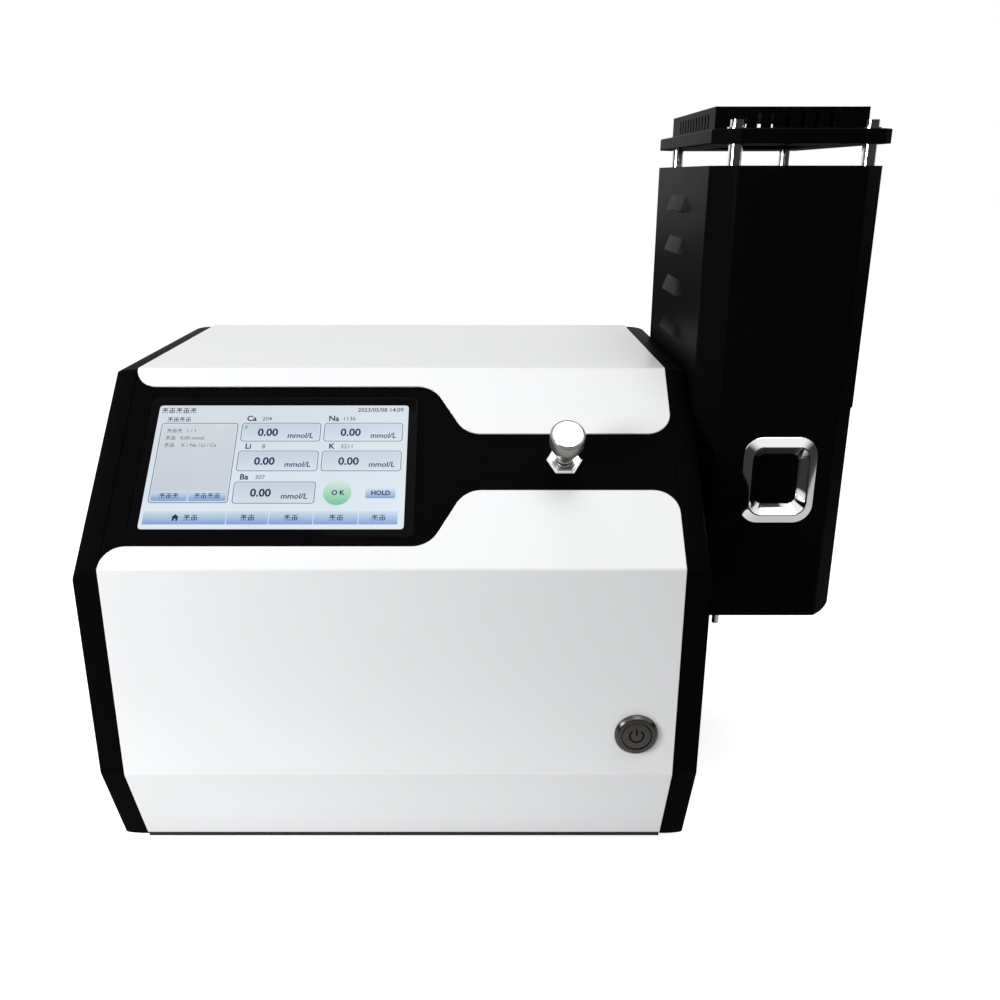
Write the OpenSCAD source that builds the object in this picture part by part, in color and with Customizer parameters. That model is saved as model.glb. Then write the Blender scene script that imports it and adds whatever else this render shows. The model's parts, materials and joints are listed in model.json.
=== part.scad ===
// Bench flame photometer: a sloping-front case with a 7-inch touch screen, a fuel needle valve and a
// push button, and a burner tower on its right side. Millimetres, +Z up, origin on the bench under the
// middle of the whole instrument, front towards -Y.

/* [Case] */
// Width of the white covers
cover_w = 333.6; // [325:0.1:345]
// Thickness of each side cheek
cheek_w = 15; // [14:0.5:16]
// Depth of the case from the front face to the back
case_d = 290; // [284:1:300]
// Height of the white covers' lower edge above the bench
skirt_z = 12; // [12:0.5:14]
// Height of the low crease above the lower edge
low_crease = 60.6; // [56:0.1:66]
// Height of the middle crease above the lower edge
mid_crease = 195.9; // [192:0.1:199]
// Height of the top above the lower edge
top_crease = 291.2; // [288:0.1:294]
// How far the sloping panel runs back
slope_run = 102.5; // [100:0.1:106]
// How far the chin runs back under the front face
chin_run = 24.5; // [20:0.5:28]
// Thickness of the white cover sheet
cover_t = 1.2; // [1:0.1:1.4]
// Width of the cheeks' rounded outer edges
cheek_r = 13; // [9:0.5:13]

/* [Touch screen] */
// Width of the lit area
screen_w = 154.1; // [154.1]
// Height of the lit area
screen_h = 85.9; // [85.9]
// Middle of the screen, left of the case's middle
screen_x = -71.4; // [-74:0.1:-70]
// Middle of the screen, up the slope from the middle crease
screen_s = 69.1; // [68:0.1:70]

/* [Controls] */
// Needle valve's place across the case
valve_x = 100.3; // [96:0.1:104]
// Needle valve's place up the slope
valve_s = 71.5; // [69:0.1:74]
// Knob's top diameter
knob_d = 20.4; // [18:0.2:21]
// Height of the knob's top above the black panel
knob_top = 31; // [30:0.5:32]
// Push button's place across the case
button_x = 143.3; // [140:0.1:144]
// Push button's height above the covers' lower edge
button_h = 89.5; // [86:0.5:95]

/* [Burner tower] */
// Width of the tower
tower_w = 100; // [100]
// Depth of the tower
tower_d = 194.6; // [194.6]
// Distance from the front face back to the tower's front
tower_set = 71; // [68:1:74]
// Height of the tower's floor above the covers' lower edge
tower_z0 = 133.6; // [133.6]
// Height of the seam between burner housing and chimney
tower_z1 = 270; // [270]
// Height of the chimney's top
tower_z2 = 412; // [410:1:414]
// Chamfer on the tower's corners
tower_c = 13.5; // [12:0.5:15]
// Gap between the chimney and the top plate
plate_gap = 11.7; // [11:0.1:13]
// Louvres on the chimney's left wall
louvre_count = 4; // [3:1:4]

/* [Hidden] */
$fn = 64;
far = 400;

// Places of the case: its middle across, its front face and its creases.
case_x = -50;
front_y = -152;
back_y = front_y + case_d;
half_w = cover_w / 2;
cheek_x = half_w + 0.2;
low_z = skirt_z + low_crease;
mid_z = skirt_z + mid_crease;
top_z = skirt_z + top_crease;
slope_a = atan2(top_crease - mid_crease, slope_run);
slope_l = norm([slope_run, top_crease - mid_crease]);
pan_z = 10;
sheet = 1.5;
pan_top = pan_z + sheet;
frame_in = 4.6;
bezel_t = 3;
cheek_drop = 3.7;
// How far the rounding falls on the bottom, back, top, slope, front and chin.
cheek_fall = [1.5, 4, 3, 6, 1, 1];

// Places of the tower.
tower_x0 = case_x + cheek_x + cheek_w;
tower_x1 = tower_x0 + tower_w;
tower_y0 = front_y + tower_set;
tower_y1 = tower_y0 + tower_d;
floor_z = skirt_z + tower_z0;
seam_z = skirt_z + tower_z1;
chimney_z = skirt_z + tower_z2;
wall = 2;
seam_in = 0.7;
burner = [188, 11];
flame_z = skirt_z + 225;
window_c = [185.7, skirt_z + 226.3];
window_size = [46, 55.7];
port_y = burner[1];
posts = [[146, tower_y0 + 13], [222.7, tower_y0 + 13], [143, tower_y1 - 26], [220, tower_y1 - 26]];
plate_c = 6;
plate_z = chimney_z + plate_gap;
plate_t = 8;
cowl_h = 13;
sample_xy = [160, -57];
spray_z = 166;
fuel_z = 181;
chamber_z = [152, 195];
louvre_pitch = 26.7;
louvre_first = 17.7;
louvre_l = 46;
louvre_h = 9.7;
louvre_out = 3.6;
louvre_flare = 14;
louvre_y = front_y + 170;

// Places inside the case.
shelf_z = 190;
optic_x = 131;
wheel_y = 37;
wheel_x = 70;
filter_r = wheel_y - port_y;
fan_c = [-110, 170];
fan_size = 80;
inlet_c = [-180, 62];
ports_c = [-105, 62];
gas_c = [60, 45];
air_c = [15, 60];
rear_out = back_y - cover_t;
rear_in = rear_out - sheet;
button_c = [case_x + button_x, skirt_z + button_h];
foot_x = 140;
foot_y = [front_y + 52, back_y - 30];
cheek_screw_yz = [[front_y + 40, 40], [back_y - 24, 40], [front_y + 40, 175], [back_y - 24, 262]];
tower_screw_yz = [[-56, 160], [80, 160], [-56, 245], [80, 270]];
screw_r = 2;
hose_r = 3;
hose_bore = 1.8;

// ---------------------------------------------------------------- outlines

// Corner arc of an outline: n + 1 points of radius r, tangent to the sides a-p and p-b.
function corner(a, p, b, r, n) =
    let (u = (a - p) / norm(a - p), v = (b - p) / norm(b - p),
         half = acos(u * v) / 2, c = p + (u + v) / norm(u + v) * r / sin(half),
         side = cross(u, v) > 0 ? 1 : -1, start = p + u * r / tan(half) - c, turn = 180 - 2 * half)
    r <= 0 ? [p] : [for (i = [0 : n]) let (t = -side * turn * i / n)
        c + [start[0] * cos(t) - start[1] * sin(t), start[0] * sin(t) + start[1] * cos(t)]];

// Outline through pts with one radius for each corner.
function rounded(pts, radii, n = 8) =
    [for (i = [0 : len(pts) - 1]) let (m = len(pts))
        each corner(pts[(i + m - 1) % m], pts[i], pts[(i + 1) % m], radii[i], n)];

// Convex outline moved inwards by d, for points that run counter-clockwise.
function inset(pts, d) =
    [for (i = [0 : len(pts) - 1])
        let (m = len(pts), p = pts[i], a = p - pts[(i + m - 1) % m], b = pts[(i + 1) % m] - p,
             na = [-a[1], a[0]] / norm(a), nb = [-b[1], b[0]] / norm(b))
        p + (na + nb) * d / (1 + na * nb)];

function box_pts(w, h) = [[-w / 2, -h / 2], [w / 2, -h / 2], [w / 2, h / 2], [-w / 2, h / 2]];

// Side outline of the case in (Y, Z), its lower edge moved down by drop.
function case_profile(drop = 0) =
    [[front_y + chin_run * (1 + drop / low_crease), skirt_z - drop],
     [back_y, skirt_z - drop],
     [back_y, top_z],
     [front_y + slope_run, top_z],
     [front_y, mid_z],
     [front_y, low_z]];

// Tower outline in (X, Y) with chamfered corners, moved in by d, and by left on the case's side.
// Its right front corner has the chamfer k.
function tower_outline(d = 0, left = 0, k = tower_c) =
    let (c = tower_c, x0 = tower_x0 + left, x1 = tower_x1 - d, y0 = tower_y0 + d, y1 = tower_y1 - d)
    [[x0 + c, y0], [x1 - k, y0], [x1, y0 + k], [x1, y1 - c],
     [x1 - c, y1], [x0 + c, y1], [x0, y1 - c], [x0, y0 + c]];

module plate2(w, h, r) {
    polygon(rounded(box_pts(w, h), [r, r, r, r], 6));
}

// ---------------------------------------------------------------- placing

// Extrudes a (Y, Z) outline from x0 to x1.
module along_x(x0, x1) {
    translate([x0, 0, 0]) rotate([90, 0, 90]) linear_extrude(x1 - x0) children();
}

// Extrudes an (X, Z) outline from y0 back to y1.
module along_y(y0, y1) {
    translate([0, y1, 0]) rotate([90, 0, 0]) linear_extrude(y1 - y0) children();
}

// Round bar along X, Y or Z from its low end.
module bar_x(p, r, l) {
    translate(p) rotate([0, 90, 0]) cylinder(r = r, h = l);
}

module bar_y(p, r, l) {
    translate(p) rotate([-90, 0, 0]) cylinder(r = r, h = l);
}

module bar_z(p, r, l) {
    translate(p) cylinder(r = r, h = l);
}

// Sloping panel's own frame: X across from the case's middle, Y up the slope, Z out of the surface.
module on_slope(x = 0, s = 0, h = 0) {
    translate([case_x, front_y, mid_z]) rotate([slope_a, 0, 0]) translate([x, s, h]) children();
}

// Pipe through a list of points, with ball corners.
module run(pts, r) {
    for (i = [0 : len(pts) - 2]) {
        d = pts[i + 1] - pts[i];
        translate(pts[i])
            rotate([0, acos(d[2] / norm(d)), atan2(d[1], d[0])])
            cylinder(r = r, h = norm(d), $fn = 24);
    }
    for (i = [1 : 1 : len(pts) - 2]) translate(pts[i]) sphere(r = r, $fn = 24);
}

// Points of a smooth bend of radius r at p, on the way from a to b.
function bend(a, p, b, r, n = 5) =
    let (u = (a - p) / norm(a - p), v = (b - p) / norm(b - p), half = acos(u * v) / 2,
         c = p + (u + v) / norm(u + v) * r / sin(half), start = p + u * r / tan(half) - c)
    [for (i = [0 : n]) let (t = (180 - 2 * half) * i / n) c + start * cos(t) - u * r * sin(t)];

// Ring of sides points round q, square to the direction t.
function ring(q, t, r, sides) =
    let (a = cross(t, [0.3, 0.2, 0.9]), u = a / norm(a), v = cross(t, u) / norm(t))
    [for (j = [0 : sides - 1]) q + r * (u * cos(360 * j / sides) + v * sin(360 * j / sides))];

// Hose along pts with bends of radius r at its corners.
module hose(pts, r = 14, sides = 10) {
    m = len(pts) - 1;
    path = [pts[0], each [for (i = [1 : 1 : m - 1]) each bend(pts[i - 1], pts[i], pts[i + 1], r)], pts[m]];
    n = len(path);
    along = [for (i = [0 : n - 1]) path[min(i + 1, n - 1)] - path[max(i - 1, 0)]];
    outer = [for (i = [0 : n - 1]) each ring(path[i], along[i], hose_r, sides)];
    inner = [for (i = [0 : n - 1]) each ring(path[i], along[i], hose_bore, sides)];
    skin = [for (i = [0 : n - 2], j = [0 : sides - 1])
        let (k = (j + 1) % sides, a = i * sides + j, b = i * sides + k)
        each [[a, b, b + sides], [a, b + sides, a + sides]]];
    lining = [for (f = skin) [f[2], f[1], f[0]] + [n, n, n] * sides];
    ends = [for (j = [0 : sides - 1])
        let (k = (j + 1) % sides, i = n * sides, z = (n - 1) * sides)
        each [[k, j, i + j], [k, i + j, i + k], [z + j, z + k, z + i + k], [z + j, z + i + k, z + i + j]]];
    polyhedron([each outer, each inner], [each skin, each lining, each ends]);
}

// Pan-head screw with a cross recess, head up, thread down from the origin.
module pan_screw(l, head_r = 3.8, head_h = 2.4) {
    difference() {
        union() {
            cylinder(r = head_r, h = head_h, $fn = 32);
            translate([0, 0, -l]) cylinder(r = screw_r - 0.05, h = l, $fn = 24);
        }
        for (a = [0, 90])
            rotate([0, 0, a]) translate([-2.2, -0.4, head_h - 1.2]) cube([4.4, 0.8, 2]);
    }
}

// ---------------------------------------------------------------- case

module case_block(d, x0, x1, drop = 0) {
    along_x(x0, x1) polygon(inset(case_profile(drop), d));
}

module cover_skin() {
    difference() {
        case_block(0, case_x - half_w, case_x + half_w);
        case_block(cover_t, case_x - half_w - 1, case_x + half_w + 1);
    }
}

// Edges of the two white covers where they leave the black panel bare, in the slope's frame.
step_x = [20.4, 41];
upper_edge = [[-half_w, 125.8], [step_x[0], 125.8], [step_x[1], 90.8], [half_w, 90.8]];
lower_edge = [[-half_w, 14.7], [step_x[0], 14.7], [step_x[1], 51.5], [half_w, 51.5]];
edge_r = [14, 17, 17, 15];

module upper_edge_prism() {
    on_slope(h = -30) linear_extrude(40) polygon(rounded(
        [each upper_edge, [half_w, 200], [-half_w, 200]], [each edge_r, 0, 0]));
}

module lower_edge_prism() {
    on_slope(h = -30) linear_extrude(40) polygon(rounded(
        [[-half_w, -60], each lower_edge, [half_w, -60]], [0, each edge_r, 0]));
}

module case_region(y0, y1, z0, z1) {
    translate([case_x - half_w - 1, y0, z0]) cube([cover_w + 2, y1 - y0, z1 - z0]);
}

module top_cover() {
    color("white") intersection() {
        cover_skin();
        union() {
            upper_edge_prism();
            case_region(front_y + slope_run, back_y + 1, top_z - 14, top_z + 1);
        }
    }
}

module lower_front_cover() {
    color("white") difference() {
        intersection() {
            cover_skin();
            union() {
                lower_edge_prism();
                case_region(front_y - 1, front_y + 36, skirt_z - 1, mid_z);
            }
        }
        bar_y([button_c[0], front_y - 5, button_c[1]], 11.1, 12);
    }
}

module control_bezel() {
    color([0.05, 0.05, 0.055]) difference() {
        intersection() {
            difference() {
                case_block(cover_t, case_x - half_w, case_x + half_w);
                case_block(cover_t + bezel_t, case_x - half_w - 1, case_x + half_w + 1);
            }
            on_slope(h = -30)
                translate([-half_w, 3, 0]) linear_extrude(40) square([cover_w, slope_l - 6]);
        }
        on_slope(screen_x, screen_s, -cover_t - 1.1) linear_extrude(9) plate2(166.4, 98.4, 4.2);
        on_slope(screen_x, screen_s, -15) linear_extrude(20) plate2(160.4, 91.4, 1);
        on_slope(valve_x, valve_s, -20) cylinder(r = 6.1, h = 30);
    }
}

// Convex outline whose side from point i to the next moves in by d[i].
function inset_sides(p, d) = let (n = len(p)) [for (i = [0 : n - 1])
    let (u = (p[i] - p[(i + n - 1) % n]) / norm(p[i] - p[(i + n - 1) % n]),
         v = (p[(i + 1) % n] - p[i]) / norm(p[(i + 1) % n] - p[i]), k = u[0] * v[1] - u[1] * v[0])
    p[i] + (v * d[(i + n - 1) % n] - u * d[i]) / k];

// Side cheek with rounded outer edges and a ribbed pocket inside, built for the right side at X = 0.
module cheek_shape() {
    difference() {
        hull() {
            along_x(0, cheek_w - cheek_r) polygon(inset(case_profile(cheek_drop), cover_t));
            for (a = [18 : 18 : 90]) let (x = cheek_w - cheek_r * (1 - sin(a)))
                along_x(x - 0.05, x)
                    polygon(inset_sides(inset(case_profile(cheek_drop), cover_t), cheek_fall * (1 - cos(a))));
        }
        difference() {
            along_x(-1, cheek_w - 6) polygon(inset(case_profile(), 18));
            for (p = cheek_screw_yz) bar_x([-2, p[0], p[1]], 8, 30);
            for (z = [90, 150, 210])
                translate([-2, front_y, z]) cube([30, case_d, 3]);
        }
        for (p = cheek_screw_yz) bar_x([-1, p[0], p[1]], screw_r + 0.2, 40);
        for (p = cheek_screw_yz) bar_x([cheek_w - 3, p[0], p[1]], 4.2, 10);
    }
}

module left_cheek() {
    color([0.06, 0.06, 0.065])
        translate([case_x - cheek_x, 0, 0]) mirror([1, 0, 0]) cheek_shape();
}

module right_cheek() {
    color([0.06, 0.06, 0.065]) difference() {
        union() {
            translate([case_x + cheek_x, 0, 0]) cheek_shape();
            intersection() {
                along_x(case_x + cheek_x, tower_x0 - 1) translate([-66, 150]) square([158, 126]);
                case_block(18, case_x + cheek_x, tower_x0);
            }
        }
        bar_x([tower_x0 - 40, port_y, flame_z], 13.3, 60);
        bar_x([tower_x0 - 40, port_y, fuel_z], 4, 60);
        bar_x([tower_x0 - 40, air_port()[1], spray_z], 4, 60);
        for (p = tower_screw_yz) bar_x([tower_x0 - 40, p[0], p[1]], screw_r + 0.2, 60);
    }
}

module base_pan() {
    w = cheek_x * 2 - 3;
    color([0.1, 0.1, 0.105]) difference() {
        union() {
            translate([case_x - w / 2, front_y + 26, pan_z])
                cube([w, case_d - 26 - cover_t - sheet, sheet]);
            for (x = [case_x - w / 2, case_x + w / 2 - sheet])
                translate([x, front_y + 40, pan_z]) cube([sheet, case_d - 50, 40]);
        }
        for (x = [-foot_x, foot_x], y = foot_y) bar_z([case_x + x, y, 0], screw_r + 0.2, 30);
        for (i = [0 : 8], j = [0 : 1])
            translate([case_x - 60 + 14 * i, 60 + 30 * j, pan_z - 1]) cube([6, 22, 4]);
        for (p = cheek_screw_yz) bar_x([case_x - far / 2, p[0], p[1]], screw_r + 0.2, far);
    }
}

module inner_frame() {
    side = inset(case_profile(), frame_in);
    color([0.62, 0.64, 0.66]) difference() {
        union() {
            for (x = [case_x - cheek_x, case_x + cheek_x - sheet])
                intersection() {
                    along_x(x, x + sheet) polygon(side);
                    translate([x - 1, front_y, pan_top]) cube([4, case_d - 4.3, far]);
                }
            translate([case_x - cheek_x, -15, shelf_z]) cube([2 * cheek_x, 95, sheet]);
            for (y = [-15, 80 - sheet])
                translate([case_x - cheek_x, y, shelf_z - 10]) cube([2 * cheek_x, sheet, 10]);
        }
        along_x(case_x - cheek_x - 1, case_x + cheek_x - 5)
            polygon(rounded([[-110, 50], [110, 50], [110, 165], [-110, 165]], [9, 9, 9, 9]));
        along_x(case_x + cheek_x - 5, case_x + cheek_x + 1)
            polygon(rounded([[-40, 60], [110, 60], [110, 148], [-40, 148]], [9, 9, 9, 9]));
        bar_x([tower_x0 - 40, port_y, flame_z], 13.3, 60);
        bar_x([tower_x0 - 40, port_y, fuel_z - 2], 6.5, 60);
        bar_x([tower_x0 - 40, air_port()[1], spray_z], 4.5, 60);
        bar_y([case_x + valve_x + 50, -20, fuel_z], 6, 10);
        for (p = cheek_screw_yz) bar_x([case_x - far / 2, p[0], p[1]], screw_r + 0.2, far);
        for (p = tower_screw_yz) bar_x([tower_x0 - 40, p[0], p[1]], screw_r + 0.2, 60);
    }
}

module rear_panel() {
    color([0.1, 0.1, 0.105]) difference() {
        translate([case_x - half_w + 0.8, rear_in, pan_top])
            cube([cover_w - 1.6, sheet, top_z - cover_t - pan_top - 0.2]);
        bar_y([fan_c[0], rear_in - 1, fan_c[1]], 37, 5);
        for (sx = [-1, 1], sz = [-1, 1])
            bar_y([fan_c[0] + sx * 35.8, rear_in - 1, fan_c[1] + sz * 35.8], 2.2, 5);
        along_y(rear_in - 1, rear_out + 1) translate(inlet_c) plate2(28.4, 48.4, 2);
        along_y(rear_in - 1, rear_out + 1) translate(ports_c) plate2(17, 9.6, 0.6);
        along_y(rear_in - 1, rear_out + 1) translate(ports_c + [0, 26]) plate2(13.4, 12.4, 0.6);
        bar_y([gas_c[0], rear_in - 1, gas_c[1]], 5.1, 5);
        bar_y([air_c[0], rear_in - 1, air_c[1]], 5.1, 5);
        for (i = [0 : 11])
            translate([20 + 7 * i, rear_in - 1, 200]) cube([3, 5, 46]);
    }
}

module rubber_feet() {
    color([0.07, 0.07, 0.07]) for (x = [-foot_x, foot_x], y = foot_y)
        translate([case_x + x, y, 0]) difference() {
            union() {
                cylinder(r1 = 8.5, r2 = 9.5, h = pan_z - 3);
                translate([0, 0, pan_z - 3]) cylinder(r = 9.5, h = 3);
            }
            translate([0, 0, -1]) cylinder(r = 4.3, h = 5);
            cylinder(r = screw_r + 0.1, h = 30);
        }
}

module foot_screws() {
    color("silver") for (x = [-foot_x, foot_x], y = foot_y)
        translate([case_x + x, y, 4]) rotate([180, 0, 0]) pan_screw(12);
}

module case_screws() {
    color([0.25, 0.25, 0.26]) {
        for (p = cheek_screw_yz) {
            translate([case_x + cheek_x + cheek_w - 3, p[0], p[1]]) rotate([0, 90, 0])
                pan_screw(16, 4, 2.2);
            translate([case_x - cheek_x - cheek_w + 3, p[0], p[1]]) rotate([0, -90, 0])
                pan_screw(16, 4, 2.2);
        }
        for (p = tower_screw_yz)
            translate([tower_x0 + wall, p[0], p[1]]) rotate([0, 90, 0]) pan_screw(14);
    }
}

// ---------------------------------------------------------------- touch screen

glass_size = [screen_w + 11.9, screen_h + 12.1];

module display_glass() {
    color([0.3, 0.42, 0.55]) on_slope(screen_x, screen_s, -cover_t - 1.1)
        linear_extrude(1.1) plate2(glass_size[0], glass_size[1], 4);
}

module display_module() {
    color([0.75, 0.77, 0.8]) on_slope(screen_x, screen_s, 0) {
        translate([0, 0, -cover_t - bezel_t]) linear_extrude(1.9) plate2(160, 91, 1);
        translate([0, 0, -cover_t - bezel_t - 6]) linear_extrude(6) plate2(169, 102, 1);
        translate([0, 0, -cover_t - bezel_t - 13.6]) linear_extrude(7.6) plate2(110, 60, 1);
    }
}

module display_bracket() {
    color([0.62, 0.64, 0.66]) on_slope(screen_x, screen_s, -cover_t - bezel_t) {
        difference() {
            translate([0, 0, -7.5]) linear_extrude(sheet) plate2(176, 114, 3);
            translate([0, 0, -9]) linear_extrude(4) plate2(116, 66, 4);
        }
        for (x = [-82, 82], y = [-53.6, 53.6]) translate([x, y, -7]) cylinder(r = 2.4, h = 7);
    }
}

// ---------------------------------------------------------------- push button

module on_button() {
    translate([button_c[0], front_y, button_c[1]]) rotate([90, 0, 0]) children();
}

module power_button_bezel() {
    color([0.3, 0.3, 0.32]) on_button() difference() {
        union() {
            rotate_extrude() polygon(rounded(
                [[9.1, 0], [13, 0], [13, 1.4], [11.6, 3], [9.1, 3]], [0, 0, 0.8, 0.8, 0], 4));
            translate([0, 0, -26]) cylinder(r = 11, h = 26.5);
        }
        translate([0, 0, -10]) cylinder(r = 9.1, h = 20);
        translate([0, 0, -24]) cylinder(r = 4.2, h = 30);
    }
}

module power_button_cap() {
    color([0.35, 0.35, 0.37]) on_button() {
        rotate_extrude() polygon(rounded(
            [[0, -5], [9.04, -5], [9.04, 2.6], [0, 2.6]], [0, 0, 0.8, 0], 4));
        translate([0, 0, -19]) cylinder(r = 2.2, h = 15);
    }
}

module power_button_nut() {
    color("silver") on_button() difference() {
        translate([0, 0, -cover_t - 3.5]) cylinder(r = 15, h = 3.5, $fn = 6);
        translate([0, 0, -20]) cylinder(r = 11.06, h = 30);
    }
}

// Coil of wire: turns loops of radius coil_r and wire radius wire_r over height l.
module coil_spring(coil_r, wire_r, turns, l, steps = 10, sides = 6) {
    rings = turns * steps;
    pts = [for (i = [0 : rings], j = [0 : sides - 1])
        let (a = 360 * i / steps, b = 360 * j / sides, q = coil_r + wire_r * cos(b))
        [q * cos(a), q * sin(a), l * i / rings + wire_r * sin(b)]];
    side_faces = [for (i = [0 : rings - 1], j = [0 : sides - 1])
        let (p = i * sides + j, q = i * sides + (j + 1) % sides)
        each [[p, p + sides, q + sides], [p, q + sides, q]]];
    cap_low = [for (j = [0 : sides - 1]) j];
    cap_high = [for (j = [sides - 1 : -1 : 0]) rings * sides + j];
    polyhedron(pts, [cap_low, each side_faces, cap_high]);
}

module power_button_spring() {
    color("silver") on_button() translate([0, 0, -9.4]) coil_spring(6.2, 0.4, 2, 3.8);
}

// ---------------------------------------------------------------- needle valve

module on_valve(h = 0) {
    on_slope(valve_x, valve_s, h - cover_t) children();
}

seat_h = -42;

module valve_body() {
    color([0.72, 0.6, 0.35]) on_valve() {
        difference() {
            union() {
                translate([0, 0, -bezel_t]) cylinder(r = 6, h = bezel_t + 3.9);
                translate([0, 0, -bezel_t - 45]) cylinder(r = 10, h = 45);
                translate([0, 0, -bezel_t - 55]) cylinder(r = 3, h = 12);
                translate([0, 0, -bezel_t - 24]) rotate([0, 90, 0]) cylinder(r = 3, h = 20);
            }
            translate([0, 0, seat_h]) cylinder(r = 3.05, h = 60);
            translate([0, 0, -70]) cylinder(r = 1, h = 60);
            translate([0, 0, -bezel_t - 24]) rotate([0, 90, 0]) cylinder(r = 1.5, h = 30);
        }
    }
}

module valve_panel_nut() {
    color([0.8, 0.8, 0.82]) on_valve() difference() {
        union() {
            cylinder(r = 10.8, h = 3, $fn = 6);
            translate([0, 0, 3]) cylinder(r = 8.6, h = 0.8);
        }
        translate([0, 0, -1]) cylinder(r = 6.03, h = 10);
    }
}

module valve_knob() {
    r = knob_d / 2;
    color([0.82, 0.82, 0.84]) on_valve() difference() {
        rotate_extrude() polygon(rounded(
            [[3.03, 6.2], [4.9, 6.2], [r, 21.5], [r, knob_top - 0.8], [r - 0.7, knob_top],
             [0, knob_top], [0, 26], [3.03, 26]],
            [0, 0.5, 1.5, 0.2, 0.2, 0, 0, 0], 4));
        translate([0, 0, 15]) rotate([90, 0, 0]) cylinder(r = 1.5, h = 20);
    }
}

module knob_set_screw() {
    color([0.2, 0.2, 0.21]) on_valve() translate([0, 0, 15]) rotate([90, 0, 0]) difference() {
        translate([0, 0, 3.1]) cylinder(r = 1.45, h = 4.2);
        translate([0, 0, 5.3]) cylinder(r = 0.8, h = 5, $fn = 6);
    }
}

module valve_spindle() {
    color([0.75, 0.75, 0.77]) on_valve() {
        translate([0, 0, -20]) cylinder(r = 3, h = 45.9);
        translate([0, 0, 5.1]) cylinder(r = 4.6, h = 1.1);
    }
}

module valve_needle() {
    color([0.75, 0.75, 0.77]) on_valve() {
        translate([0, 0, -34]) cylinder(r = 3, h = 14);
        translate([0, 0, -40]) cylinder(r1 = 0.7, r2 = 3, h = 6);
    }
}

// ---------------------------------------------------------------- electronics

board_c = [-105, -45];
board_size = [190, 110];
board_z = 24;

module main_board() {
    color([0.06, 0.3, 0.16]) difference() {
        translate([board_c[0] - board_size[0] / 2, board_c[1] - board_size[1] / 2, board_z])
            cube([board_size[0], board_size[1], 1.6]);
        for (x = [-89, 89], y = [-49, 49])
            bar_z([board_c[0] + x, board_c[1] + y, board_z - 1], 1.6, 5);
    }
    color([0.08, 0.08, 0.09]) for (p = [[-60, -20, 22], [-20, -25, 14], [20, -15, 30], [60, 10, 18]])
        translate([board_c[0] + p[0], board_c[1] + p[1], board_z + 1.6])
            cube([p[2], p[2], 2.4]);
    color([0.85, 0.85, 0.8]) for (i = [0 : 5])
        translate([board_c[0] - 75 + 24 * i, board_c[1] + 38, board_z + 1.6]) cube([16, 6, 9]);
    color([0.2, 0.25, 0.35]) for (i = [0 : 3])
        bar_z([board_c[0] - 80 + 13 * i, board_c[1] - 40, board_z + 1.6], 5, 14);
}

module board_standoffs() {
    color([0.78, 0.66, 0.35]) for (x = [-89, 89], y = [-49, 49])
        translate([board_c[0] + x, board_c[1] + y, pan_top]) {
            cylinder(r = 3.2, h = board_z - pan_top, $fn = 6);
            cylinder(r = 1.5, h = board_z - pan_top + 4);
        }
}

module power_supply() {
    x0 = -205;
    y0 = 22;
    w = 100;
    d = 76;
    color([0.7, 0.72, 0.74]) difference() {
        translate([x0, y0, pan_top]) cube([w, d, 36]);
        translate([x0 + sheet, y0 + sheet, pan_top + sheet]) cube([w - 2 * sheet, d - 14, 60]);
        for (i = [0 : 6]) translate([x0 - 1, y0 + 8 + 8 * i, pan_top + 8]) cube([w + 2, 3, 18]);
    }
    color([0.75, 0.6, 0.1]) translate([x0 + 40, y0 + 20, pan_top + sheet]) cube([26, 26, 24]);
    color([0.12, 0.12, 0.2]) bar_z([x0 + 20, y0 + 32, pan_top + sheet], 9, 28);
}

// ---------------------------------------------------------------- optics

module optical_bench() {
    x0 = 5;
    base_z = shelf_z + sheet;
    color([0.15, 0.15, 0.16]) difference() {
        union() {
            translate([x0, -14, base_z]) cube([107, 93, 5]);
            translate([92, port_y - 18, base_z]) cube([12, 36, flame_z + 18 - base_z]);
            translate([62, 18, base_z]) cube([4, 40, flame_z + 18 - base_z]);
            translate([44, -8, base_z]) cube([8, 24, flame_z + 13 - base_z]);
            bar_x([84, port_y, flame_z], 12.8, optic_x - 84);
        }
        bar_x([80, port_y, flame_z], 10, 60);
        bar_x([60, wheel_y, flame_z], 5, 10);
        bar_x([40, port_y, flame_z], 8.1, 20);
        for (x = [x0 + 6, 106], y = [-8, 73]) bar_z([x, y, base_z - 1], 2.1, 8);
    }
}

module collimator_lens() {
    r = 29;
    rim = asin(9.9 / r);
    thick = 3 + r * (1 - cos(rim));
    color([0.7, 0.85, 0.9]) translate([114, port_y, flame_z]) rotate([0, 90, 0]) rotate_extrude()
        polygon([each [for (i = [0 : 6]) [r * sin(rim * i / 6), thick - r * (1 - cos(rim * i / 6))]],
                 each [for (i = [6 : -1 : 0]) [r * sin(rim * i / 6), r * (1 - cos(rim * i / 6)) - thick]]]);
}

module on_wheel() {
    translate([wheel_x, wheel_y, flame_z]) rotate([0, 90, 0]) children();
}

module filter_wheel() {
    color([0.12, 0.12, 0.13]) on_wheel() difference() {
        union() {
            cylinder(r = 34, h = 4);
            translate([0, 0, 4]) cylinder(r = 7, h = 6);
            translate([0, 0, -19]) cylinder(r = 1.5, h = 29);
        }
        for (i = [0 : 4]) rotate([0, 0, -90 + 72 * i]) translate([filter_r, 0, -1])
            cylinder(r = 6.35, h = 8);
    }
}

module interference_filters() {
    color([0.55, 0.3, 0.6]) on_wheel()
        for (i = [0 : 4]) rotate([0, 0, -90 + 72 * i]) translate([filter_r, 0, 0.5])
            cylinder(r = 6.35, h = 3);
}

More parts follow.
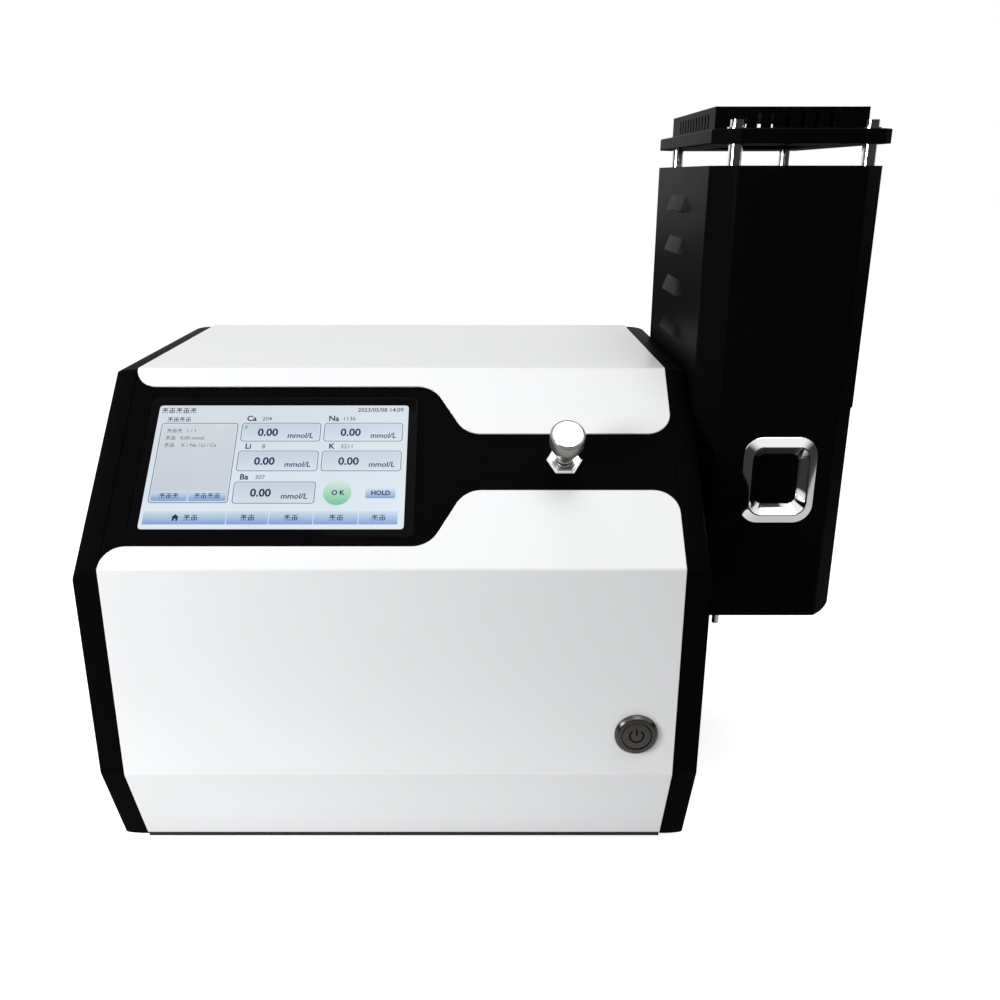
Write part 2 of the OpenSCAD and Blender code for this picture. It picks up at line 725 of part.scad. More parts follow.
module filter_motor() {
    color([0.3, 0.3, 0.32]) difference() {
        union() {
            translate([30, wheel_y - 14, flame_z - 14]) cube([32, 28, 28]);
            bar_x([61, wheel_y, flame_z], 4.9, 3.5);
        }
        bar_x([50, wheel_y, flame_z], 1.55, 20);
    }
}

module photodetector() {
    color([0.5, 0.5, 0.52]) {
        bar_x([30, port_y, flame_z], 8, 31);
        bar_x([52.3, port_y, flame_z], 9.8, 3);
    }
}

// ---------------------------------------------------------------- gas and air

module hex_union(p, l) {
    translate(p) rotate([-90, 0, 0]) cylinder(r = 7.5, h = l, $fn = 6);
}

// Bulkhead fitting through the rear panel, with a hose barb outside and a plain tail inside.
module rear_fitting(c, tail) {
    difference() {
        union() {
            hex_union([c[0], rear_out, c[1]], 4);
            hex_union([c[0], rear_in - 4, c[1]], 4);
            bar_y([c[0], rear_in - tail, c[1]], 5, tail + sheet);
            translate([c[0], rear_out, c[1]]) rotate([-90, 0, 0]) rotate_extrude() polygon(
                [[0, 0], [4, 0], [4, 10], [3.2, 10.5], [4, 12], [3.2, 14], [4, 15.5], [3, 18.2], [0, 18.2]]);
        }
        bar_y([c[0], rear_in - tail - 1, c[1]], 1.8, tail + 40);
    }
}

module gas_inlet_fitting() {
    color([0.78, 0.62, 0.32]) rear_fitting(gas_c, 14);
}

module air_inlet_fitting() {
    color([0.78, 0.62, 0.32]) rear_fitting(air_c, 14);
}

module solenoid_valve() {
    x = gas_c[0];
    z = gas_c[1];
    color([0.75, 0.6, 0.32]) difference() {
        union() {
            translate([x - 14, 52, z - 14]) cube([28, 42, 28]);
            bar_y([x, 46, z], 3, 54);
            translate([x - 20, 56, pan_top]) cube([40, 34, 2]);
            translate([x - 12, 60, pan_top]) cube([24, 26, z - 14 - pan_top + 1]);
        }
        bar_y([x, 45, z], 1.6, 60);
        for (sx = [-1, 1], y = [60, 86]) bar_z([x + sx * 17, y, pan_top - 1], 1.7, 6);
    }
    color([0.1, 0.1, 0.11]) bar_z([x, 73, z + 14], 13, 30);
    color("silver") bar_z([x, 73, z + 44], 5, 5);
}

module air_regulator() {
    x = air_c[0];
    z = air_c[1];
    color([0.7, 0.7, 0.72]) difference() {
        union() {
            translate([x - 18, 68, z - 16]) cube([36, 34, 32]);
            translate([x - 14, 72, pan_top]) cube([28, 26, z - 16 - pan_top + 1]);
            bar_z([x, 85, z + 16], 3, 8);
            bar_y([x, 102, z], 3, 6);
        }
        bar_y([x, 96, z], 1.6, 20);
        bar_z([x, 85, z], 1.6, 40);
    }
    color([0.15, 0.3, 0.5]) bar_y([x, 50, z], 11, 18);
}

module fuel_hoses() {
    tail = rear_in - 14;
    gx = gas_c[0];
    gz = gas_c[1];
    end = valve_point(-bezel_t - 55);
    out = valve_point(-bezel_t - 24) + [20, 0, 0];
    color([0.8, 0.45, 0.1]) {
        hose([[gx, 100, gz], [gx, tail, gz]]);
        hose([[gx, 46, gz], [gx, 20, gz], [gx - 8, -20, 150], end + slope_in() * 12, end]);
        hose([out, out + [30, 0, 0], [out[0] + 30, -50, fuel_z], [out[0] + 30, port_y, fuel_z],
            [burner[0] - 27 - 5, port_y, fuel_z]]);
    }
}

module air_hoses() {
    ax = air_c[0];
    az = air_c[1];
    color([0.2, 0.4, 0.75]) {
        hose([[ax, 108, az], [ax, rear_in - 14, az]]);
        hose([[ax, 85, az + 24], [ax, 85, 150], [88, air_port()[1], spray_z],
            [air_port()[0], air_port()[1], spray_z]]);
    }
}

// Unit vector into the case, square to the slope, and a point of the valve's axis in the part's frame.
function slope_in() = [0, sin(slope_a), -cos(slope_a)];
function valve_point(h) =
    [case_x + valve_x, front_y + valve_s * cos(slope_a), mid_z + valve_s * sin(slope_a)]
    - slope_in() * (h - cover_t);

// ---------------------------------------------------------------- rear of the case

module fan_frame() {
    x = fan_c[0];
    z = fan_c[1];
    color([0.08, 0.08, 0.085]) difference() {
        union() {
            difference() {
                along_y(rear_in - 25, rear_in) translate([x, z]) plate2(fan_size, fan_size, 4);
                bar_y([x, rear_in - 26, z], 38, 30);
            }
            bar_y([x, rear_in - 25, z], 14, 4);
            for (a = [0, 120, 240])
                translate([x, rear_in - 25, z]) rotate([0, a, 0]) translate([0, 0, -3]) cube([39, 3, 6]);
        }
        for (sx = [-1, 1], sz = [-1, 1])
            bar_y([x + sx * 35.8, rear_in - 30, z + sz * 35.8], 2.15, 40);
        bar_y([x, rear_in - 30, z], 1.55, 20);
    }
}

module fan_rotor() {
    color([0.12, 0.12, 0.13]) translate([fan_c[0], rear_in - 20.5, fan_c[1]]) rotate([-90, 0, 0]) {
        cylinder(r = 15, h = 18);
        translate([0, 0, -4]) cylinder(r = 1.5, h = 5);
        for (i = [0 : 6]) rotate([0, 0, 360 / 7 * i]) translate([14, 0, 9]) rotate([38, 0, 0])
            translate([0, -8, -0.8]) cube([22.5, 16, 1.6]);
    }
}

module fan_guard() {
    color([0.6, 0.6, 0.62]) translate([fan_c[0], rear_out, fan_c[1]]) rotate([-90, 0, 0]) {
        for (r = [12, 20, 28, 36])
            rotate_extrude() translate([r, 3]) circle(r = 0.9, $fn = 16);
        for (a = [45, 135])
            rotate([0, 0, a]) translate([-50.6, 0, 1.3]) rotate([0, 90, 0]) cylinder(r = 1, h = 101.2);
        for (a = [45 : 90 : 315]) rotate([0, 0, a]) translate([50.6, 0, 0]) difference() {
            cylinder(r = 4.2, h = 1.8);
            translate([0, 0, -1]) cylinder(r = 2, h = 1.9);
        }
    }
}

socket_dz = 9;
drawer_dz = -15;

module power_inlet() {
    x = inlet_c[0];
    z = inlet_c[1];
    color([0.08, 0.08, 0.085]) difference() {
        union() {
            along_y(rear_out, rear_out + 2.5) translate(inlet_c) plate2(50, 58, 5);
            along_y(rear_in - 26, rear_out) translate(inlet_c) plate2(28, 48, 2);
        }
        along_y(rear_out - 17, rear_out + 4) translate([x, z + socket_dz]) polygon(rounded(
            [[-12, -8], [12, -8], [12, 4.5], [8.5, 8], [-8.5, 8], [-12, 4.5]], [2, 2, 1, 1, 1, 1], 4));
        along_y(rear_out - 23, rear_out + 4) translate([x, z + drawer_dz]) square([22.2, 9.2], center = true);
        for (sx = [-1, 1]) bar_y([x + sx * 20, rear_out - 3, z], 1.8, 8);
    }
    color("gold") for (p = [[-7, -1], [0, 3], [7, -1]])
        translate([x + p[0] - 1, rear_out - 18, z + socket_dz + p[1] - 2]) cube([2, 15, 4]);
}

module fuse_drawer() {
    x = inlet_c[0];
    z = inlet_c[1] + drawer_dz;
    color([0.13, 0.13, 0.14]) difference() {
        union() {
            along_y(rear_out - 22.5, rear_out + 3) translate([x, z]) square([22, 9], center = true);
            along_y(rear_out + 2.6, rear_out + 4.4) translate([x, z]) plate2(24, 10.6, 1.2);
        }
        translate([x - 8.5, rear_out - 21, z - 3]) cube([7, 20.6, 20]);
        translate([x + 1.5, rear_out - 21, z - 3]) cube([7, 20.6, 20]);
    }
}

module data_ports() {
    color([0.72, 0.73, 0.75]) {
        difference() {
            along_y(rear_in - 12, rear_out + 1.2) translate(ports_c) plate2(16.8, 9.4, 0.6);
            along_y(rear_in - 9, rear_out + 3) translate(ports_c) plate2(15, 7.6, 0.4);
        }
        difference() {
            along_y(rear_in - 16, rear_out + 1.2) translate(ports_c + [0, 26]) plate2(13.2, 12.2, 0.6);
            along_y(rear_in - 12, rear_out + 3) translate(ports_c + [0, 26]) plate2(11, 10, 0.4);
        }
        along_y(rear_in - 8, rear_out) translate(ports_c + [0, 30]) square([6, 2.6], center = true);
        along_y(rear_in - 10, rear_out) translate(ports_c) square([11, 2.4], center = true);
        along_y(rear_in - 2, rear_in) difference() {
            translate(ports_c + [0, 13]) plate2(26, 52, 2);
            translate(ports_c) plate2(16.8, 9.4, 0.6);
            translate(ports_c + [0, 26]) plate2(13.2, 12.2, 0.6);
        }
    }
}

// ---------------------------------------------------------------- burner tower

function air_port() = [163, -31];
spray_dir = [sample_xy[0] - burner[0], sample_xy[1] - burner[1]];
spray_l = norm(spray_dir);
spray_a = atan2(spray_dir[1], spray_dir[0]);

module burner_housing() {
    color([0.04, 0.04, 0.045]) difference() {
        intersection() {
            translate([0, 0, floor_z]) linear_extrude(seam_z - floor_z) polygon(tower_outline(seam_in));
            along_y(tower_y0 - 1, tower_y1 + 1) polygon(rounded(
                [[tower_x0, floor_z], [tower_x1, floor_z], [tower_x1, seam_z], [tower_x0, seam_z]],
                [0.8, 8, 0, 0]));
        }
        translate([0, 0, floor_z + wall]) linear_extrude(far)
            polygon(tower_outline(seam_in + wall, wall));
        along_y(tower_y0 - 1, tower_y0 + 4) translate(window_c)
            plate2(window_size[0] - 5.8, window_size[1] - 5.8, 9);
        bar_x([tower_x0 - 2, port_y, flame_z], 10, 8);
        bar_x([tower_x0 - 2, port_y, fuel_z], 4, 8);
        bar_x([tower_x0 - 2, air_port()[1], spray_z], 4, 8);
        for (p = tower_screw_yz) bar_x([tower_x0 - 2, p[0], p[1]], screw_r + 0.2, 8);
        bar_z([sample_xy[0], sample_xy[1], floor_z - 1], 5.2, 5);
        bar_z([burner[0], burner[1] + 14, floor_z - 1], 6.2, 5);
        for (i = [0 : 7]) translate([153 + 9 * i, 55, floor_z - 1]) cube([4, 32, 5]);
    }
}

// Pressed hood: a wedge that stands out from the left wall at its lower edge, open below.
module louvre(z_top, shrink) {
    l = louvre_l / 2 - shrink;
    w = l + louvre_flare - shrink / 2;
    zt = z_top - shrink;
    zb = z_top - louvre_h - (shrink > 0 ? 1 : 0);
    p = louvre_out - shrink;
    inner = 1;
    pts = [[inner, -l, zt], [inner, l, zt], [inner, -w, zb], [inner, w, zb],
           [0, -l, zt], [0, l, zt], [0, -w, zb], [0, w, zb], [-p, -l, zb], [-p, l, zb]];
    translate([tower_x0, louvre_y, 0]) hull() polyhedron(pts,
        [[0, 1, 3], [0, 3, 2], [4, 8, 9], [4, 9, 5], [4, 6, 8], [5, 9, 7], [0, 4, 5], [0, 5, 1],
         [0, 2, 6], [0, 6, 4], [1, 5, 7], [1, 7, 3], [2, 3, 7], [2, 7, 9], [2, 9, 8], [2, 8, 6]]);
}

module chimney_shell() {
    color([0.04, 0.04, 0.045]) difference() {
        union() {
            difference() {
                translate([0, 0, seam_z]) linear_extrude(chimney_z - seam_z) polygon(tower_outline());
                translate([0, 0, seam_z - 1]) linear_extrude(chimney_z - seam_z - 2)
                    polygon(tower_outline(wall, wall));
            }
            for (p = posts) bar_z([p[0], p[1], chimney_z - 12], 5, 12);
            for (i = [0 : louvre_count - 1])
                louvre(chimney_z - louvre_first - louvre_pitch * i, 0);
        }
        for (i = [0 : louvre_count - 1])
            translate([0, louvre_y - louvre_l / 2 + 2, chimney_z - louvre_first - louvre_pitch * i])
                translate([tower_x0 - 0.9, 0, -louvre_h - 1]) cube([5, louvre_l - 4, 5.2]);
        translate([burner[0] - 30, burner[1] - 44, chimney_z - 5]) cube([50, 88, 10]);
        for (p = posts) bar_z([p[0], p[1], chimney_z - 14], 2, 20);
    }
}

module window_frame() {
    y = tower_y0 + seam_in;
    color([0.85, 0.85, 0.86]) difference() {
        union() {
            hull() {
                along_y(y - 0.6, y) translate(window_c) plate2(window_size[0], window_size[1], 12);
                along_y(y - 3.6, y) translate(window_c)
                    plate2(window_size[0] - 3, window_size[1] - 3, 10.6);
            }
            along_y(y, y + 3) translate(window_c) plate2(window_size[0] - 6, window_size[1] - 6, 9);
        }
        hull() {
            along_y(y - 3.7, y - 3.5) translate(window_c)
                plate2(window_size[0] - 9.5, window_size[1] - 9.5, 8);
            along_y(y + 3.9, y + 4) translate(window_c) plate2(25, 33, 4.5);
        }
    }
}

module window_glass() {
    y = tower_y0 + seam_in + 3;
    color([0.2, 0.25, 0.3]) along_y(y, y + 3) translate(window_c)
        plate2(window_size[0] - 2, window_size[1] - 2, 8);
}

module mixing_chamber() {
    h = chamber_z[1] - chamber_z[0];
    color([0.55, 0.56, 0.58]) difference() {
        union() {
            bar_z([burner[0], burner[1], chamber_z[0]], 27, h);
            bar_z([burner[0], burner[1], floor_z + wall], 20, 5);
            bar_x([burner[0] - 32, port_y, fuel_z], 3, 8);
        }
        bar_z([burner[0], burner[1], chamber_z[0] + 3], 24, h - 7);
        bar_z([burner[0], burner[1], chamber_z[1] - 10], 9, 20);
        bar_x([burner[0] - 40, port_y, fuel_z], 1.8, 20);
        bar_z([burner[0], burner[1] + 14, floor_z - 1], 5.05, 20);
        translate([burner[0], burner[1], spray_z]) rotate([0, 90, spray_a])
            translate([0, 0, 20]) cylinder(r = 6.05, h = 20);
    }
}

module nebuliser() {
    color([0.8, 0.8, 0.82]) difference() {
        union() {
            translate([burner[0], burner[1], spray_z]) rotate([0, 90, spray_a]) {
                translate([0, 0, 18]) cylinder(r = 6, h = spray_l - 18 + 5);
                translate([0, 0, 28]) cylinder(r = 9, h = 5);
                translate([0, 0, 16]) cylinder(r1 = 3, r2 = 6, h = 2);
            }
            bar_x([air_port()[0], air_port()[1], spray_z], 3, 8);
            bar_z([sample_xy[0], sample_xy[1], floor_z - 6], 5, spray_z - floor_z + 6);
            bar_z([sample_xy[0], sample_xy[1], floor_z - 5], 5.6, 5);
            bar_z([sample_xy[0], sample_xy[1], floor_z - 16], 2.2, 12);
        }
        bar_z([sample_xy[0], sample_xy[1], floor_z - 17], 0.6, 36);
    }
}

module burner_head() {
    z = chamber_z[1];
    color([0.7, 0.7, 0.72]) difference() {
        translate([burner[0], burner[1], z - 4]) rotate_extrude() polygon(
            [[0, 0], [8.95, 0], [8.95, 4], [11, 4], [11, 12], [18, 15], [18, 18], [16.6, 18],
             [16.6, 21], [15, 21], [15, 20], [0, 20]]);
        bar_z([burner[0], burner[1], z - 5], 6.5, 17);
        for (ring = [[4, 6], [8.4, 12], [12.6, 18]], i = [1 : ring[1]])
            rotate_port(ring[0], 360 * i / ring[1]);
    }
}

// One flame port of the burner head, r from its axis.
module rotate_port(r, a) {
    translate([burner[0] + r * cos(a), burner[1] + r * sin(a), chamber_z[1] + 8])
        cylinder(r = 0.9, h = 20, $fn = 16);
}

module heat_shield() {
    z = chamber_z[1] + 6;
    color([0.6, 0.61, 0.63]) difference() {
        union() {
            translate([0, 0, z]) linear_extrude(1.2) polygon(tower_outline(seam_in + wall + 0.2, wall + 0.2));
            bar_z([burner[0], burner[1], z], 34, 195);
        }
        bar_z([burner[0], burner[1], z - 1], 32.8, 210);
        along_y(tower_y0, burner[1]) translate(window_c) plate2(30, 40, 5);
        bar_x([tower_x0, port_y, flame_z], 9, 40);
        for (i = [0 : 5]) translate([burner[0] - 3, burner[1], z + 120 + 12 * i]) cube([6, 60, 5]);
    }
}

module igniter_electrode() {
    p = [burner[0] + 22, burner[1], chamber_z[1]];
    color([0.9, 0.9, 0.86]) bar_z(p, 3.5, 14);
    color("silver") {
        bar_z(p + [0, 0, 12], 1.2, 12);
        bar_x(p + [-9, 0, 22], 0.9, 9.6);
    }
}

module flame_sensor() {
    p = [burner[0], burner[1] + 24, chamber_z[1]];
    color([0.75, 0.75, 0.76]) {
        bar_z([p[0], p[1], p[2]], 3, 14);
        run([[p[0], p[1], p[2] + 12], [p[0], p[1], p[2] + 26], [p[0], p[1] - 10, p[2] + 34]], 1.2);
    }
}

module standoff_posts() {
    color([0.85, 0.85, 0.86]) for (p = posts) difference() {
        bar_z([p[0], p[1], chimney_z], 4, plate_gap);
        bar_z([p[0], p[1], chimney_z - 1], 2.05, 30);
    }
}

module top_plate() {
    color([0.05, 0.05, 0.055]) difference() {
        translate([0, 0, plate_z]) linear_extrude(plate_t) polygon(tower_outline(k = plate_c));
        for (p = posts) bar_z([p[0], p[1], plate_z - 1], 2.2, 20);
        translate([burner[0] - 30, burner[1] - 44, plate_z - 1]) cube([50, 88, 20]);
    }
}

module vent_cowl() {
    x0 = tower_x0 + 5;
    x1 = tower_x1 - 5;
    y0 = tower_y0 + 30;
    y1 = tower_y1 - 34;
    z0 = plate_z + plate_t;
    rib = 8.5;
    gap = 3.5;
    color([0.06, 0.06, 0.065]) difference() {
        translate([x0, y0, z0]) cube([x1 - x0, y1 - y0, cowl_h]);
        translate([x0 + 4, y0 + 4, z0 - 1]) cube([x1 - x0 - 8, y1 - y0 - 8, cowl_h - 1.5]);
        for (i = [0 : 10]) translate([x0 - 5, y0 + 16 + rib * i, z0 + 1.5]) cube([tower_w + 10, gap, 8]);
        for (i = [0 : 6]) translate([x0 + 16 + rib * i, y0 - 5, z0 + 1.5]) cube([gap, tower_d, 8]);
    }
}

module cap_screws() {
    z = plate_z + plate_t;
    color([0.85, 0.85, 0.86]) for (p = posts) difference() {
        union() {
            bar_z([p[0], p[1], chimney_z - 10], 1.95, z - chimney_z + 10);
            bar_z([p[0], p[1], z], 5.5, 1);
            bar_z([p[0], p[1], z + 1], 4, 4);
        }
        translate([p[0], p[1], z + 2.5]) cylinder(r = 2.2, h = 5, $fn = 6);
    }
}

module drain_fitting() {
    p = [burner[0], burner[1] + 14];
    color([0.78, 0.62, 0.32]) difference() {
        union() {
            bar_z([p[0], p[1], floor_z - 4], 5, chamber_z[0] + 3 - floor_z + 4);
            translate([p[0], p[1], floor_z - 5]) cylinder(r = 7.5, h = 5, $fn = 6);
            translate([p[0], p[1], floor_z - 23]) rotate_extrude() polygon(
                [[0, 0], [3, 0], [4, 5], [3.2, 7], [4, 9.5], [3.2, 11.5], [4, 12], [4, 18], [0, 18]]);
        }
        bar_z([p[0], p[1], floor_z - 30], 1.8, 60);
    }
}

base_pan();
inner_frame();
rear_panel();
left_cheek();
right_cheek();
lower_front_cover();
top_cover();
control_bezel();
rubber_feet();
foot_screws();
case_screws();
display_glass();
display_module();
display_bracket();
power_button_bezel();
power_button_cap();
power_button_nut();
power_button_spring();
valve_body();
valve_panel_nut();
valve_knob();
valve_spindle();
valve_needle();
knob_set_screw();
main_board();
board_standoffs();
power_supply();
optical_bench();
collimator_lens();
filter_wheel();
interference_filters();
filter_motor();
photodetector();
solenoid_valve();
air_regulator();
gas_inlet_fitting();
air_inlet_fitting();
fuel_hoses();
air_hoses();
fan_frame();
fan_rotor();
fan_guard();
power_inlet();
fuse_drawer();
data_ports();
burner_housing();
chimney_shell();
window_frame();
window_glass();
burner_head();
mixing_chamber();
nebuliser();
igniter_electrode();
flame_sensor();
heat_shield();
standoff_posts();
top_plate();
vent_cowl();
cap_screws();
drain_fitting();
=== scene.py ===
"""Looks of the bench flame photometer, dressed over its CAD parts.

Sizes in the classes are in millimetres, in the frame that the CAD parts use, and
every mesh is scaled to metres when it is made.
"""

import json
import logging
import math
from dataclasses import dataclass
from enum import Enum
from typing import Callable, Iterable, Sequence

import bmesh
import bpy
from mathutils import Matrix, Vector


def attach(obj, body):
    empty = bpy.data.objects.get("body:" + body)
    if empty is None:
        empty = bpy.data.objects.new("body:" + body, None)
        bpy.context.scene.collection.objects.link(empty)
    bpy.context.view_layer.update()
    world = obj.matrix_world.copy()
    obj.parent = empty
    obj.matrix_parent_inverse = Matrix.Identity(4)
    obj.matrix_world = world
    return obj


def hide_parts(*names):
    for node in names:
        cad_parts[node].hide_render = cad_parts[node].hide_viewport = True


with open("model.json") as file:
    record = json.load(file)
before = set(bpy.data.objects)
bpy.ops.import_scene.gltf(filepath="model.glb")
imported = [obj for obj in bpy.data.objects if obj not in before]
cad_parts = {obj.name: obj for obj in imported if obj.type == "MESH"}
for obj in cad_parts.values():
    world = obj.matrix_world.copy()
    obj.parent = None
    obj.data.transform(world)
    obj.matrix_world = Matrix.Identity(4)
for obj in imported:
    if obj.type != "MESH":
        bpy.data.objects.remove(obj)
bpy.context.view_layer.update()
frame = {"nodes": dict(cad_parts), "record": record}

MM = 0.001
CASE = "case"
LOG = logging.getLogger("photometer")

Point2 = tuple[float, float]
Point3 = tuple[float, float, float]
Outline = list[Point2]


def hang(obj: bpy.types.Object) -> bpy.types.Object:
    """Put an object in the scene and return it."""
    bpy.context.scene.collection.objects.link(obj)
    return obj


def placed(place: Matrix, x: float, y: float, z: float = 0.0) -> Vector:
    """Point of a placing in millimetres, as a place in the scene in metres."""
    return place @ Vector((x, y, z)) * MM


# ---- outlines

def inset(points: Outline, distance: float) -> Outline:
    """Move a convex, counter-clockwise outline inwards.

    Args:
        points: corners of the outline.
        distance: how far each side moves in.

    Returns:
        The corners of the smaller outline.
    """
    return inset_sides(points, [distance] * len(points))


def inset_sides(points: Outline, distances: Sequence[float]) -> Outline:
    """Move each side of a convex, counter-clockwise outline inwards by its own distance.

    Args:
        points: corners of the outline.
        distances: how far the side from each corner to the next moves in.

    Returns:
        The corners of the smaller outline.
    """
    moved = []
    for i, point in enumerate(points):
        here = Vector(point)
        before = (here - Vector(points[i - 1])).normalized()
        after = (Vector(points[(i + 1) % len(points)]) - here).normalized()
        turn = before.x * after.y - before.y * after.x
        moved.append(tuple(here + (after * distances[i - 1] - before * distances[i]) / turn))
    return moved


def rounded(points: Outline, radii: Sequence[float], steps: int = 6) -> Outline:
    """Round each corner of an outline with its own radius.

    Args:
        points: corners of the outline.
        radii: one radius for each corner.
        steps: segments in each rounded corner.

    Returns:
        The rounded outline, with steps + 1 points for each corner.
    """
    result: Outline = []
    for i, point in enumerate(points):
        here = Vector(point)
        back = (Vector(points[i - 1]) - here).normalized()
        ahead = (Vector(points[(i + 1) % len(points)]) - here).normalized()
        half = math.acos(max(-1.0, min(1.0, back.dot(ahead)))) / 2
        radius = max(radii[i], 1e-4)
        centre = here + (back + ahead).normalized() * radius / math.sin(half)
        start = here + back * radius / math.tan(half) - centre
        turn = (math.pi - 2 * half) * (1 if back.x * ahead.y - back.y * ahead.x < 0 else -1)
        for step in range(steps + 1):
            spin = Matrix.Rotation(turn * step / steps, 2)
            result.append(tuple(centre + spin @ start))
    return result


def rectangle(width: float, height: float, radius: float = 0.0, steps: int = 8) -> Outline:
    """Outline of a rectangle about its middle, with rounded corners where radius is given."""
    x, y = width / 2, height / 2
    corners = [(-x, -y), (x, -y), (x, y), (-x, y)]
    return rounded(corners, [radius] * 4, steps) if radius else corners


def circle(radius: float, segments: int = 48, centre: Point2 = (0.0, 0.0)) -> Outline:
    """Outline of a circle about a centre."""
    return [(centre[0] + radius * math.cos(math.tau * i / segments),
             centre[1] + radius * math.sin(math.tau * i / segments)) for i in range(segments)]


# ---- node helpers

Socket = bpy.types.NodeSocket
Tree = bpy.types.NodeTree


def preset(node: bpy.types.Node, **values: float | Sequence[float]) -> None:
    """Set a node's inputs to constants, each named with _ for every space."""
    for name, value in values.items():
        node.inputs[name.replace("_", " ")].default_value = value


def maths(tree: Tree, operation: str, first: Socket, second: Socket | float) -> Socket:
    """Join two values with a Math node.

    Args:
        tree: node tree that gets the node.
        operation: what the node does.
        first: its first value.
        second: its second value, a socket or a number.

    Returns:
        The node's result.
    """
    node = tree.nodes.new("ShaderNodeMath")
    node.operation = operation
    tree.links.new(first, node.inputs[0])
    if isinstance(second, float):
        node.inputs[1].default_value = second
    else:
        tree.links.new(second, node.inputs[1])
    return node.outputs["Value"]


def ramp(tree: Tree, value: Socket, limits: Sequence[float], smooth: bool = False) -> Socket:
    """Map a value from one span to another with a Map Range node.

    Args:
        tree: node tree that gets the node.
        value: the value.
        limits: start and end of its span, then of the result's.
        smooth: eases both ends of the ramp.

    Returns:
        The node's result.
    """
    node = tree.nodes.new("ShaderNodeMapRange")
    node.interpolation_type = "SMOOTHSTEP" if smooth else "LINEAR"
    for name, limit in zip(("From Min", "From Max", "To Min", "To Max"), limits):
        node.inputs[name].default_value = limit
    tree.links.new(value, node.inputs["Value"])
    return node.outputs["Result"]


def noise(tree: Tree, place: Socket, scale: float, detail: float = 2.0) -> Socket:
    """Add a Noise Texture node and return its value."""
    node = tree.nodes.new("ShaderNodeTexNoise")
    preset(node, Scale=scale, Detail=detail)
    tree.links.new(place, node.inputs["Vector"])
    return node.outputs["Fac"]


def axes(tree: Tree, coordinate: str) -> bpy.types.NodeOutputs:
    """Split a texture coordinate, and return its X, Y and Z."""
    parts = tree.nodes.new("ShaderNodeSeparateXYZ")
    tree.links.new(tree.nodes.new("ShaderNodeTexCoord").outputs[coordinate], parts.inputs["Vector"])
    return parts.outputs


def rays(tree: Tree) -> tuple[Socket, Socket]:
    """Return two factors: 1 on a ray from the camera, and 1 on a mirrored or refracted ray."""
    path = tree.nodes.new("ShaderNodeLightPath").outputs
    return path["Is Camera Ray"], maths(tree, "MAXIMUM", path["Is Glossy Ray"], path["Is Transmission Ray"])


# ---- finishes

class Grain(Enum):
    """Kinds of fine surface that the finishes choose from."""

    POWDER_COAT = "powder coat"
    MOULDED = "moulded"
    ENAMEL = "enamel"
    BRUSHED = "brushed"
    POLISHED = "polished"
    CAST = "cast"
    RUBBER = "rubber"
    BOARD = "board"
    CLEAR = "clear"


SLOW_SCALE = 14.0
BUMP_DEPTH = 0.0002
TONE_STOPS = (0.3, 0.7)
FINE_SHARE = 0.35


@dataclass(frozen=True)
class GrainSpec:
    """Noise that makes one kind of surface: its scale per metre, stretch, bump and spread."""

    scale: float
    stretch: Point3
    bump: float
    rough_spread: float
    tone_spread: float


GRAINS: dict[Grain, GrainSpec] = {
    Grain.POWDER_COAT: GrainSpec(900, (1, 1, 1), 0.10, 0.05, 0.015),
    Grain.MOULDED: GrainSpec(2400, (1, 1, 1), 0.16, 0.06, 0.10),
    Grain.ENAMEL: GrainSpec(1300, (1, 1, 1), 0.12, 0.06, 0.12),
    Grain.BRUSHED: GrainSpec(500, (0.06, 1, 1), 0.10, 0.10, 0.06),
    Grain.POLISHED: GrainSpec(160, (1, 1, 1), 0.012, 0.03, 0.03),
    Grain.CAST: GrainSpec(1500, (1, 1, 1), 0.30, 0.10, 0.10),
    Grain.RUBBER: GrainSpec(1800, (1, 1, 1), 0.30, 0.08, 0.15),
    Grain.BOARD: GrainSpec(420, (1, 0.25, 1), 0.10, 0.12, 0.30),
    Grain.CLEAR: GrainSpec(60, (1, 1, 1), 0.01, 0.02, 0.02),
}


